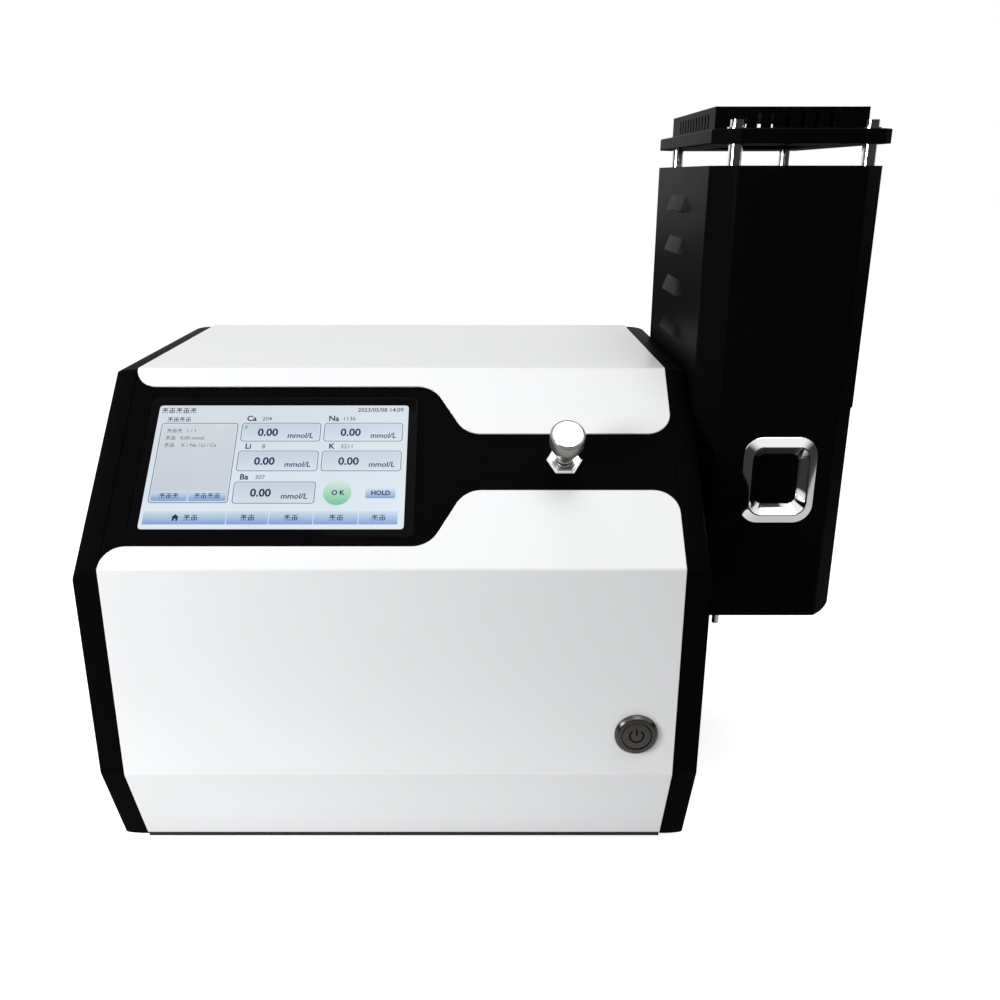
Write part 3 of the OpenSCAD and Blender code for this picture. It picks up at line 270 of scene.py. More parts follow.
@dataclass(frozen=True)
class Finish:
    """One finish of the instrument, named as the record's material slot."""

    slot: str
    colour: Point3
    roughness: float
    grain: Grain
    metallic: float = 0.0
    specular: float = 0.5
    coat: float = 0.0
    coat_roughness: float = 0.1
    transmission: float = 0.0

    def material(self) -> bpy.types.Material:
        """Return this finish's material, made once.

        Returns:
            The node-based material.
        """
        made = bpy.data.materials.get(self.slot + "_look")
        return made or self._build(bpy.data.materials.new(self.slot + "_look"))

    def _build(self, material: bpy.types.Material) -> bpy.types.Material:
        """Lay out the nodes: fine noise for bump and roughness, slow noise for tone."""
        spec = GRAINS[self.grain]
        material.use_nodes = True
        tree = material.node_tree
        nodes, links = tree.nodes, tree.links
        shader = nodes["Principled BSDF"]
        preset(shader, Metallic=self.metallic, Specular_IOR_Level=self.specular, Coat_Weight=self.coat,
               Coat_Roughness=self.coat_roughness, Transmission_Weight=self.transmission)
        fit = nodes.new("ShaderNodeMapping")
        preset(fit, Scale=spec.stretch)
        links.new(nodes.new("ShaderNodeTexCoord").outputs["Object"], fit.inputs["Vector"])
        fine = noise(tree, fit.outputs["Vector"], spec.scale, 3.0)
        slow = noise(tree, fit.outputs["Vector"], SLOW_SCALE, 4.0)
        bump = nodes.new("ShaderNodeBump")
        preset(bump, Strength=spec.bump, Distance=BUMP_DEPTH)
        links.new(fine, bump.inputs["Height"])
        links.new(bump.outputs["Normal"], shader.inputs["Normal"])
        tone = nodes.new("ShaderNodeValToRGB")
        for element, side, stop in zip(tone.color_ramp.elements, (-1, 1), TONE_STOPS):
            factor = 1 + side * spec.tone_spread / 2
            element.position = stop
            element.color = (*(min(1.0, c * factor) for c in self.colour), 1)
        blend = nodes.new("ShaderNodeMix")
        preset(blend, Factor=FINE_SHARE)
        links.new(slow, blend.inputs["A"])
        links.new(fine, blend.inputs["B"])
        links.new(blend.outputs["Result"], tone.inputs["Fac"])
        links.new(tone.outputs["Color"], shader.inputs["Base Color"])
        least = max(0.02, self.roughness - spec.rough_spread)
        most = min(1.0, self.roughness + spec.rough_spread)
        links.new(ramp(tree, fine, (0.0, 1.0, least, most)), shader.inputs["Roughness"])
        return material


FINISHES: dict[str, Finish] = {finish.slot: finish for finish in (
    Finish("black_case", (0.0025, 0.0025, 0.0028), 0.45, Grain.MOULDED, specular=0.004),
    Finish("white_cover", (0.86, 0.87, 0.88), 0.34, Grain.POWDER_COAT, coat=0.15, coat_roughness=0.25),
    Finish("black_steel", (0.016, 0.016, 0.017), 0.55, Grain.POWDER_COAT, specular=0.3),
    Finish("zinc_sheet", (0.60, 0.62, 0.64), 0.38, Grain.BRUSHED, metallic=1.0),
    Finish("foot_rubber", (0.02, 0.02, 0.02), 0.75, Grain.RUBBER, specular=0.25),
    Finish("steel_hardware", (0.62, 0.63, 0.65), 0.26, Grain.BRUSHED, metallic=1.0),
    Finish("black_screws", (0.03, 0.03, 0.032), 0.35, Grain.ENAMEL, metallic=0.6),
    Finish("screen_glass", (0.002, 0.002, 0.0025), 0.08, Grain.CLEAR, specular=0.02),
    Finish("display_metal", (0.66, 0.67, 0.69), 0.30, Grain.BRUSHED, metallic=1.0),
    Finish("button_metal", (0.085, 0.08, 0.075), 0.20, Grain.POLISHED, metallic=1.0),
    Finish("brass", (0.76, 0.56, 0.26), 0.22, Grain.BRUSHED, metallic=1.0),
    Finish("nickel", (0.80, 0.79, 0.77), 0.10, Grain.POLISHED, metallic=1.0),
    # satin nickel whose colour is darker than nickel's: a painted reflection of the dark panel on a real
    # satin finish
    Finish("satin_nickel", (0.34, 0.335, 0.325), 0.42, Grain.BRUSHED, metallic=1.0),
    Finish("stainless", (0.60, 0.60, 0.61), 0.28, Grain.BRUSHED, metallic=1.0),
    Finish("circuit_board", (0.015, 0.13, 0.05), 0.35, Grain.BOARD, coat=0.4),
    Finish("black_anodised", (0.02, 0.02, 0.023), 0.36, Grain.BRUSHED, metallic=0.7),
    Finish("lens_glass", (0.80, 0.86, 0.92), 0.04, Grain.CLEAR, transmission=0.85),
    Finish("regulator_aluminium", (0.66, 0.67, 0.69), 0.48, Grain.CAST, metallic=1.0),
    Finish("fuel_hose", (0.55, 0.13, 0.02), 0.45, Grain.RUBBER),
    Finish("air_hose", (0.03, 0.12, 0.50), 0.22, Grain.POLISHED, coat=0.3),
    Finish("black_plastic", (0.014, 0.014, 0.015), 0.48, Grain.MOULDED, specular=0.35),
    Finish("guard_wire", (0.72, 0.72, 0.72), 0.16, Grain.POLISHED, metallic=1.0),
    Finish("tower_paint", (0.0028, 0.0028, 0.0032), 0.36, Grain.ENAMEL, specular=0.008),
    Finish("chrome", (0.86, 0.86, 0.87), 0.07, Grain.POLISHED, metallic=1.0),
    Finish("window_glass", (0.002, 0.002, 0.0025), 0.06, Grain.CLEAR, specular=0.06),
)}


@dataclass(frozen=True)
class LitFinish:
    """The lit picture of the screen: each mark carries its own colours in its mesh."""

    slot: str = "screen_glass"
    glow: float = 0.92
    gloss: float = 0.12
    specular: float = 0.15
    cloud: float = 26.0
    unevenness: tuple[float, float] = (0.93, 1.05)

    def material(self) -> bpy.types.Material:
        """Return the material that glows in the colours of the marks.

        Returns:
            The node-based material.
        """
        name = self.slot + "_lit"
        if name in bpy.data.materials:
            return bpy.data.materials[name]
        material = bpy.data.materials.new(name)
        material.use_nodes = True
        tree = material.node_tree
        shader = tree.nodes["Principled BSDF"]
        preset(shader, Base_Color=(0.004, 0.004, 0.005, 1), Roughness=self.gloss,
               Specular_IOR_Level=self.specular, Emission_Strength=self.glow)
        ink = tree.nodes.new("ShaderNodeVertexColor")
        ink.layer_name = "ink"
        cloud = noise(tree, tree.nodes.new("ShaderNodeTexCoord").outputs["Object"], self.cloud)
        tint = tree.nodes.new("ShaderNodeVectorMath")
        tint.operation = "SCALE"
        tree.links.new(ink.outputs["Color"], tint.inputs[0])
        tree.links.new(ramp(tree, cloud, (0.0, 1.0, *self.unevenness)), tint.inputs["Scale"])
        tree.links.new(tint.outputs["Vector"], shader.inputs["Emission Color"])
        return material


# ---- making pieces

def fit_out(obj: bpy.types.Object, finish: Finish | LitFinish, body: str = CASE,
            nodes: Iterable[str] = (), smooth: float = 32.0) -> bpy.types.Object:
    """Shade a new piece, give it its finish and let it ride on its body.

    Args:
        obj: the new piece, in place.
        finish: what it is finished in.
        body: CAD body that it moves with.
        nodes: CAD parts that it stands for.
        smooth: angle in degrees over which an edge stays sharp.

    Returns:
        The same piece.
    """
    mesh = obj.data
    mesh.materials.clear()
    mesh.materials.append(finish.material())
    mesh.shade_smooth()
    mesh.set_sharp_from_angle(angle=math.radians(smooth))
    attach(obj, body)
    if nodes:
        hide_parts(*nodes)
    LOG.info("%s: %d faces on %s", obj.name, len(mesh.polygons), body)
    return obj


def from_bmesh(name: str, work: bmesh.types.BMesh) -> bpy.types.Object:
    """Turn a bmesh in metres into a linked object and free it."""
    bmesh.ops.recalc_face_normals(work, faces=work.faces)
    mesh = bpy.data.meshes.new(name)
    work.to_mesh(mesh)
    work.free()
    return hang(bpy.data.objects.new(name, mesh))


def cap(work: bmesh.types.BMesh, loops: Sequence[Sequence[bmesh.types.BMVert]]) -> list[bmesh.types.BMFace]:
    """Close an outer loop with flat faces that leave the other loops open as holes.

    Args:
        work: mesh that holds the loops.
        loops: the outer loop, and then the holes.

    Returns:
        The new faces.
    """
    if len(loops) == 1:
        return [work.faces.new(list(loops[0]))]
    edges = []
    for loop in loops:
        for a, b in zip(loop, list(loop[1:]) + [loop[0]]):
            edges.append(work.edges.get((a, b)) or work.edges.new((a, b)))
    filled = bmesh.ops.triangle_fill(work, use_beauty=True, use_dissolve=False, edges=edges)["geom"]
    return [part for part in filled if isinstance(part, bmesh.types.BMFace)]


def skin(work: bmesh.types.BMesh, loops: Sequence[Sequence[Vector]],
         closed: bool = False) -> list[list[bmesh.types.BMVert]]:
    """Join rings of points into one surface of four-sided faces.

    Args:
        work: mesh that gets the faces.
        loops: rings with the same number of points, in metres.
        closed: joins the last ring to the first.

    Returns:
        The rings' vertices.
    """
    rings = [[work.verts.new(point) for point in loop] for loop in loops]
    pairs = list(zip(rings, rings[1:])) + ([(rings[-1], rings[0])] if closed else [])
    for low, high in pairs:
        for i in range(len(low)):
            j = (i + 1) % len(low)
            work.faces.new((low[i], low[j], high[j], high[i]))
    return rings


def solid(work: bmesh.types.BMesh, loops: Sequence[Sequence[Vector]]) -> None:
    """Join rings of points into a surface and close both of its ends."""
    rings = skin(work, loops)
    for ring in (rings[0], rings[-1]):
        work.faces.new(ring)


def lathe(profile: Sequence[Point2], place: Matrix, segments: int = 72) -> bmesh.types.BMesh:
    """Turn a (radius, height) profile round the Z axis of a placing.

    Args:
        profile: points from one end to the other; a radius of 0 closes the end.
        place: placing of the axis, in millimetres.
        segments: steps round the axis.

    Returns:
        The turned mesh, in metres.
    """
    work = bmesh.new()
    rings = []
    for radius, height in profile:
        if radius < 1e-6:
            rings.append([work.verts.new(placed(place, 0, 0, height))])
        else:
            rings.append([work.verts.new(placed(place, x, y, height)) for x, y in circle(radius, segments)])
    for low, high in zip(rings, rings[1:]):
        for i in range(segments):
            j = (i + 1) % segments
            corners = [low[i % len(low)], low[j % len(low)], high[j % len(high)], high[i % len(high)]]
            unique = list(dict.fromkeys(corners))
            if len(unique) > 2:
                work.faces.new(unique)
    return work


def round_edges(obj: bpy.types.Object, width: float, segments: int, method: str) -> bpy.types.BevelModifier:
    """Give a piece a modifier that rounds its edges.

    Args:
        obj: the piece.
        width: size of the rounding, in millimetres.
        segments: steps across it.
        method: what picks the edges, WEIGHT or ANGLE.

    Returns:
        The modifier.
    """
    rounding = obj.modifiers.new("rounding", "BEVEL")
    rounding.limit_method = method
    rounding.width = width * MM
    rounding.segments = segments
    rounding.use_clamp_overlap = False
    return rounding


def even_normals(obj: bpy.types.Object) -> None:
    """Keep a piece's large faces flat in the light beside its rounded edges."""
    obj.modifiers.new("even_normals", "WEIGHTED_NORMAL").keep_sharp = True


@dataclass(frozen=True)
class Easing:
    """How a folded or machined part's edges are rounded."""

    sharp: float = 0.35
    fold: float = 0.0
    fold_along: Point3 | None = None
    segments: int = 3
    least_angle: float = 60.0
    smooth: float = 35.0


def eased(node: str, easing: Easing) -> None:
    """Make a piece of the case with the CAD part's own faces and softly rounded edges, in its place.

    Args:
        node: CAD part that the piece stands for.
        easing: how its edges are rounded.
    """
    work = bmesh.new()
    work.from_mesh(frame["nodes"][node].data)
    bmesh.ops.remove_doubles(work, verts=work.verts, dist=2e-6)
    bmesh.ops.dissolve_limit(work, angle_limit=math.radians(0.6), verts=work.verts, edges=work.edges)
    weight = work.edges.layers.float.new("bevel_weight_edge")
    width = max(easing.sharp, easing.fold) or 1.0
    for edge in work.edges:
        if len(edge.link_faces) != 2:
            continue
        angle = math.degrees(edge.calc_face_angle(0.0))
        along = (edge.verts[1].co - edge.verts[0].co).normalized()
        if easing.fold_along and 14 < angle < 62 and abs(along.dot(Vector(easing.fold_along))) > 0.995:
            edge[weight] = easing.fold / width
        elif easing.sharp and angle > easing.least_angle:
            edge[weight] = easing.sharp / width
    obj = from_bmesh(node + "_eased", work)
    rounding = round_edges(obj, width, easing.segments, "WEIGHT")
    rounding.miter_outer = "MITER_ARC"
    fit_out(obj, FINISHES[SLOT_OF[node]], CASE, [node], smooth=easing.smooth)
    even_normals(obj)


SLOT_OF: dict[str, str] = {part["node"]: part["material_slot"] for part in frame["record"]["subparts"]}


# ---- the case

@dataclass
class CaseForm:
    """Side outline of the case, which its covers, cheeks and panel share."""

    middle: float = -50.0
    front: float = -152.0
    depth: float = 290.0
    skirt: float = 12.0
    low: float = 60.6
    mid: float = 195.9
    top: float = 291.2
    slope_run: float = 102.5
    chin: float = 24.5
    half_width: float = 166.8
    sheet: float = 1.2

    def profile(self, drop: float = 0.0) -> Outline:
        """Outline in (Y, Z), its lower edge moved down by drop."""
        back = self.front + self.depth
        return [(self.front + self.chin * (1 + drop / self.low), self.skirt - drop),
                (back, self.skirt - drop), (back, self.skirt + self.top),
                (self.front + self.slope_run, self.skirt + self.top),
                (self.front, self.skirt + self.mid), (self.front, self.skirt + self.low)]

    def slope(self, x: float = 0.0, up: float = 0.0, out: float = 0.0) -> Matrix:
        """Placing on the sloping panel: X across, Y up the slope, Z out of the white covers' face."""
        angle = math.atan2(self.top - self.mid, self.slope_run)
        return (Matrix.Translation((self.middle, self.front, self.skirt + self.mid))
                @ Matrix.Rotation(angle, 4, "X") @ Matrix.Translation((x, up, out)))

    def button(self) -> Matrix:
        """Placing of the push button: Z out of the front face."""
        return Matrix.Translation((self.middle + 143.3, self.front, self.skirt + 89.5)) @ Matrix.Rotation(
            math.pi / 2, 4, "X")


@dataclass
class Covers:
    """The two folded white covers, the black panel between them and a black strip of painted shade below
    them.
    """

    form: CaseForm
    fold: float = 2.5
    edge: float = 0.3
    edge_angle: float = 50.0
    fold_steps: int = 5
    step: Point2 = (20.4, 41.0)
    upper: Point2 = (125.8, 90.8)
    lower: Point2 = (14.7, 51.5)
    corners: tuple[float, float, float, float] = (14.0, 17.0, 17.0, 15.0)
    under: float = 36.0
    flange: float = 14.0
    button: Point2 = (143.3, 101.5)
    button_hole: float = 11.1
    # heights of the black strip of painted shade under the front fold
    shade_strip_heights: Point2 = (9.2, 11.9)

    def path(self) -> Outline:
        """Side line of the sheet in (Y, Z), from its return under the case round to the back."""
        form = self.form
        back = form.front + form.depth
        return [(form.front + self.under, form.skirt), (form.front + form.chin, form.skirt),
                (form.front, form.skirt + form.low), (form.front, form.skirt + form.mid),
                (form.front + form.slope_run, form.skirt + form.top), (back, form.skirt + form.top),
                (back, form.skirt + form.top - self.flange)]

    def stations(self) -> list[float]:
        """Distances along the side line of its corners."""
        path = [Vector(point) for point in self.path()]
        lengths = [0.0]
        for a, b in zip(path, path[1:]):
            lengths.append(lengths[-1] + (b - a).length)
        return lengths

    def tangent(self, leg: int) -> Vector:
        """Direction of one leg of the side line."""
        path = self.path()
        return (Vector(path[leg + 1]) - Vector(path[leg])).normalized()

    def reach(self, corner: int) -> float:
        """Distance that a fold takes on each side of its corner."""
        turn = self.tangent(corner - 1).angle(self.tangent(corner))
        return self.fold * math.tan(turn / 2)

    def folds(self) -> list[float]:
        """Distances along the side line where the flat sheet is divided for its folds."""
        marks = []
        for corner, station in list(enumerate(self.stations()))[1:-1]:
            reach = self.reach(corner)
            marks += [station + reach * (2 * step / self.fold_steps - 1)
                      for step in range(self.fold_steps + 1)]
        return marks

    def bent(self, x: float, u: float, inwards: float) -> Vector:
        """Point of the folded sheet, in metres.

        Args:
            x: distance across from the case's middle.
            u: distance along the side line.
            inwards: depth below the outer face.

        Returns:
            The point.
        """
        stations, path = self.stations(), self.path()
        for corner in range(1, len(path) - 1):
            reach = self.reach(corner)
            if abs(u - stations[corner]) < reach:
                first = self.tangent(corner - 1)
                turn = first.angle_signed(self.tangent(corner))
                share = (u - stations[corner] + reach) / (2 * reach)
                out = Vector((-first.y, first.x))
                centre = Vector(path[corner]) - first * reach - out * self.fold
                out.rotate(Matrix.Rotation(-turn * share, 2))
                point = centre + out * (self.fold - inwards)
                return Vector((self.form.middle + x, point.x, point.y)) * MM
        leg = max((i for i in range(len(path) - 1) if u >= stations[i]), default=0)
        along = self.tangent(leg)
        point = Vector(path[leg]) + along * (u - stations[leg]) - Vector((-along.y, along.x)) * inwards
        return Vector((self.form.middle + x, point.x, point.y)) * MM

    def sheet_piece(self, name: str, outline: Outline, holes: list[Outline], node: str) -> None:
        """Cut a flat sheet, fold it along the side line and round its edges.

        Args:
            name: the piece's name.
            outline: its flat outline.
            holes: its flat holes.
            node: CAD part that it stands for.
        """
        flat = bmesh.new()
        cap(flat, [[flat.verts.new((x, u, 0)) for x, u in line] for line in (outline, *holes)])
        for mark in self.folds():
            bmesh.ops.bisect_plane(flat, geom=flat.verts[:] + flat.edges[:] + flat.faces[:],
                                   plane_co=(0, mark, 0), plane_no=(0, 1, 0), dist=1e-5)
        flat.verts.index_update()
        work = bmesh.new()
        outer = [work.verts.new(self.bent(v.co.x, v.co.y, 0.0)) for v in flat.verts]
        inner = [work.verts.new(self.bent(v.co.x, v.co.y, self.form.sheet)) for v in flat.verts]
        for face in flat.faces:
            loop = [v.index for v in face.verts]
            work.faces.new([outer[i] for i in loop])
            work.faces.new([inner[i] for i in reversed(loop)])
        for edge in flat.edges:
            if len(edge.link_faces) == 1:
                a, b = (v.index for v in edge.verts)
                work.faces.new((outer[a], outer[b], inner[b], inner[a]))
        flat.free()
        obj = from_bmesh(name, work)
        round_edges(obj, self.edge, 2, "ANGLE").angle_limit = math.radians(self.edge_angle)
        fit_out(obj, FINISHES["white_cover"], CASE, [node], smooth=40)
        even_normals(obj)

    def stepped(self, heights: Point2) -> Outline:
        """Edge of a cover beside the black panel: at one height on the left, at the other on the right."""
        slope, half = self.stations()[3], self.form.half_width
        ends = ((-half, 0), (self.step[0], 0), (self.step[1], 1), (half, 1))
        return [(x, slope + heights[side]) for x, side in ends]

    def build(self) -> None:
        """Make the covers, the panel between them, the black strip of painted shade under the front fold and
        the base.
        """
        half, stations = self.form.half_width, self.stations()
        low, high = self.stepped(self.lower), self.stepped(self.upper)
        across, up = self.button
        hole = circle(self.button_hole, 64, (across, stations[2] + up - self.form.skirt - self.form.low))
        front = rounded([(-half, 0.0)] + low + [(half, 0.0)], [0.3, *self.corners, 0.3], 10)
        top = rounded(high + [(half, stations[-1]), (-half, stations[-1])], [*self.corners, 0.3, 0.3], 10)
        self.sheet_piece("lower_cover_sheet", front, [hole], "lower_front_cover")
        self.sheet_piece("top_cover_sheet", top, [], "top_cover")
        self.painted_shade_strip()
        eased("control_bezel", Easing(0.25, segments=2))
        eased("base_pan", Easing(0.3, segments=2))

    def painted_shade_strip(self) -> None:
        """Make the black strip under the lower cover's front fold: painted shade, where the gap under the
        case lies in shadow.
        """
        y = self.form.front + self.form.chin + 0.6
        low, high = self.shade_strip_heights
        section = rounded([(y, low), (y + 2.2, low), (y + 2.2, high), (y, high)], [0.6, 0.3, 0.3, 0.6], 4)
        work, half = bmesh.new(), self.form.half_width - 0.4
        solid(work, [[Vector((self.form.middle + x, a, b)) * MM for a, b in section] for x in (-half, half)])
        # a black strip of painted shade, put where the underside is only in shadow
        fit_out(from_bmesh("painted_shade_strip", work), FINISHES["foot_rubber"], CASE)


@dataclass
class Cheeks:
    """Moulded side cheeks: a flat side, a broad rounded edge and screw pockets."""

    form: CaseForm
    width: float = 15.0
    edge: float = 13.0
    edge_steps: int = 12
    straight: float = 1.4
    drop: float = 3.7
    gap: float = 0.2
    pocket: float = 18.0
    wall: float = 6.0
    fall: tuple[float, ...] = (1.5, 4.0, 3.0, 6.0, 1.0, 1.0)
    crease: float = 1.6
    recess: float = 4.2
    recess_depth: float = 3.0
    screws: tuple[Point2, ...] = ((-112, 40), (114, 40), (-112, 175), (114, 262))
    light_path: tuple[Point3, ...] = ((11, 237, 13.3), (11, 181, 4.0), (-31, 166, 4.0))

    def rings(self) -> list[tuple[float, Outline]]:
        """Outlines across the cheek, each with its distance out from the case.

        Returns:
            Pairs of distance and outline, from the pocket's floor round to the outer face.
        """
        outer = self.form.profile(self.drop)
        inner = inset(self.form.profile(), self.pocket)
        pocket = rounded(inner, [4] * 6)
        radii = [self.crease, 3, 3, self.crease, self.crease, self.crease]
        flat, lip = self.form.sheet, 0.4
        side = inset(outer, flat)
        rings = [(self.width - self.wall, pocket), (0.0, pocket),
                 (0.0, rounded(inset(outer, flat + lip), radii)),
                 (lip, rounded(side, radii)), (self.straight, rounded(side, radii))]
        for step in range(self.edge_steps + 1):
            a = math.radians(90 * step / self.edge_steps)
            rings.append((self.width - self.edge * (1 - math.sin(a)),
                          rounded(inset_sides(side, [f * (1 - math.cos(a)) for f in self.fall]), radii)))
        return rings

    def build(self) -> None:
        """Make both cheeks."""
        for name, side in (("left_cheek", -1), ("right_cheek", 1)):
            self.cheek(name, side)

    def cheek(self, name: str, side: int) -> bpy.types.Object:
        """Make one cheek.

        Args:
            name: the CAD part that it stands for.
            side: -1 on the left and 1 on the right.

        Returns:
            The new piece.
        """
        start = self.form.middle + side * (self.form.half_width + self.gap)

        def at(out: float, points: Outline) -> list[Vector]:
            """Points of an outline at a distance out from the case, in metres."""
            return [Vector((start + side * out, y, z)) * MM for y, z in points]

        work = bmesh.new()
        rings = skin(work, [at(out, points) for out, points in self.rings()])
        outer_holes = [skin(work, [at(self.width, circle(self.recess, 32, hole)),
                                   at(self.width - self.recess_depth, circle(self.recess, 32, hole))])
                       for hole in self.screws]
        for hole in outer_holes:
            work.faces.new(hole[1])
        through = []
        if side > 0:
            through = [skin(work, [at(self.width, circle(r, 40, (y, z))),
                                   at(self.width - self.wall, circle(r, 40, (y, z)))])
                       for y, z, r in self.light_path]
        cap(work, [rings[-1]] + [hole[0] for hole in outer_holes + through])
        cap(work, [rings[0]] + [hole[1] for hole in through])
        piece = from_bmesh(name + "_moulding", work)
        return fit_out(piece, FINISHES["black_case"], CASE, [name], smooth=30)


# ---- the screen

class Ink(Enum):
    """Colours of the lit picture, as linear light."""

    GROUND_TOP = (0.72, 0.78, 0.84)
    GROUND_LOW = (0.78, 0.87, 0.95)
    FIELD_TOP = (0.70, 0.73, 0.78)
    FIELD_LOW = (0.60, 0.66, 0.74)
    BOX_TOP = (0.60, 0.67, 0.79)
    BOX_LOW = (0.72, 0.79, 0.88)
    OUTLINE = (0.085, 0.16, 0.31)
    INNER_LINE = (0.84, 0.89, 0.95)
    KEY_TOP = (0.66, 0.78, 0.92)
    KEY_LOW = (0.19, 0.37, 0.68)
    GREEN_TOP = (0.70, 0.86, 0.80)
    GREEN_LOW = (0.17, 0.60, 0.34)
    NAVY = (0.006, 0.014, 0.085)
    GREY = (0.12, 0.14, 0.20)
    RULE = (0.80, 0.88, 0.96)


Box = tuple[float, float, float, float]
INK_LAYER = 6.0


class Picture:
    """Collects the flat marks of the lit picture into one mesh with their colours.

    A box gives its left, top, right and bottom edges as shares of the picture.
    """

    def __init__(self, place: Matrix, width: float, height: float) -> None:
        """Start an empty picture.

        Args:
            place: placing of the picture's middle, in millimetres.
            width: width of the lit area.
            height: height of the lit area.
        """
        self.place, self.width, self.height = place, width, height
        self.work = bmesh.new()
        self.ink = self.work.loops.layers.float_color.new("ink")

    def spot(self, u: float, v: float) -> Vector:
        """Point of the picture from its shares across and down, in its own plane."""
        return Vector(((u - 0.5) * self.width, (0.5 - v) * self.height))

    def mark(self, points: Sequence[Point2], layer: float, top: Ink, low: Ink | None = None,
             holes: Sequence[Sequence[Point2]] = ()) -> None:
        """Lay one flat mark on the picture, shaded from top to bottom.

        Args:
            points: its outline, in the picture's plane.
            layer: height above the glass in hundredths of a millimetre.
            top: colour at its upper edge.
            low: colour at its lower edge, or none for one colour.
            holes: outlines that stay open.
        """
        shades = (top.value, (low or top).value)
        loops = [[self.work.verts.new(placed(self.place, x, y, layer / 100)) for x, y in line]
                 for line in (points, *holes)]
        faces = cap(self.work, loops)
        ys = [y for _, y in points]
        high, span = max(ys), (max(ys) - min(ys)) or 1.0
        heights = {vert: y for loop, line in zip(loops, (points, *holes)) for vert, (_, y) in zip(loop, line)}
        for face in faces:
            for corner in face.loops:
                share = (high - heights[corner.vert]) / span
                corner[self.ink] = (*(a + (b - a) * share for a, b in zip(*shades)), 1.0)

    def outline(self, box: Box, less: float, radius: float) -> Outline:
        """Rounded outline of a box, made smaller across and down by less."""
        left, upper, right, lower = box
        middle = self.spot((left + right) / 2, (upper + lower) / 2)
        size = ((right - left) * self.width - less, (lower - upper) * self.height - less)
        return [(x + middle.x, y + middle.y) for x, y in rectangle(*size, radius, 5)]

    def panel(self, box: Box, layer: float, top: Ink, low: Ink, radius: float) -> None:
        """Lay a rounded panel."""
        self.mark(self.outline(box, 0.0, radius), layer, top, low)

    def frame(self, box: Box, layer: float, line: float = 0.5, radius: float = 2.0) -> None:
        """Lay a thin rounded outline, with a pale line inside it."""
        rings = [self.outline(box, less, radius - less / 2) for less in (0.0, 2 * line, 3.6 * line)]
        self.mark(rings[0], layer, Ink.OUTLINE, holes=[rings[1]])
        self.mark(rings[1], layer, Ink.INNER_LINE, holes=[rings[2]])

    def words(self, body: str, u: float, v: float, size: float, colour: Ink, bold: float = 0.0,
              slant: float = 0.0) -> None:
        """Set generic lettering, such as a number or a unit, with its middle at (u, v)."""
        curve = bpy.data.curves.new("lettering", "FONT")
        curve.body, curve.size, curve.offset, curve.shear = body, size, bold, slant
        curve.align_x, curve.align_y = "CENTER", "CENTER"
        curve.resolution_u = 3
        holder = hang(bpy.data.objects.new("lettering", curve))
        bpy.context.view_layer.update()
        shape = bpy.data.meshes.new_from_object(holder.evaluated_get(bpy.context.evaluated_depsgraph_get()))
        bpy.data.objects.remove(holder)
        middle = self.spot(u, v)
        points = ((p.co.x + middle.x, p.co.y + middle.y) for p in shape.vertices)
        verts = [self.work.verts.new(placed(self.place, x, y, INK_LAYER / 100)) for x, y in points]
        for polygon in shape.polygons:
            try:
                face = self.work.faces.new([verts[i] for i in polygon.vertices])
            except ValueError:
                continue
            for corner in face.loops:
                corner[self.ink] = (*colour.value, 1.0)
        bpy.data.meshes.remove(shape)

    def strokes(self, count: int, u: float, v: float, size: float, colour: Ink,
                layer: float = INK_LAYER) -> None:
        """Lay a row of small stroke blocks where the picture has a word that isn't drawn."""
        middle = self.spot(u, v)
        for n in range(count):
            x0 = middle.x + (n - count / 2) * size * 1.12
            y0 = middle.y - size / 2
            bars = [(0.08, 0.84, 0.92, 0.95), (0.45, 0.05, 0.57, 0.95), (0.02, 0.44, 0.98, 0.55)]
            if n % 2:
                bars += [(0.12, 0.05, 0.88, 0.16), (0.10, 0.05, 0.22, 0.62), (0.78, 0.05, 0.90, 0.62)]
            else:
                bars += [(0.05, 0.04, 0.30, 0.16), (0.72, 0.04, 0.98, 0.16), (0.16, 0.62, 0.84, 0.72)]
            for a, b, c, d in bars:
                corners = ((a, b), (c, b), (c, d), (a, d))
                self.mark([(x0 + x * size, y0 + y * size) for x, y in corners], layer, colour)


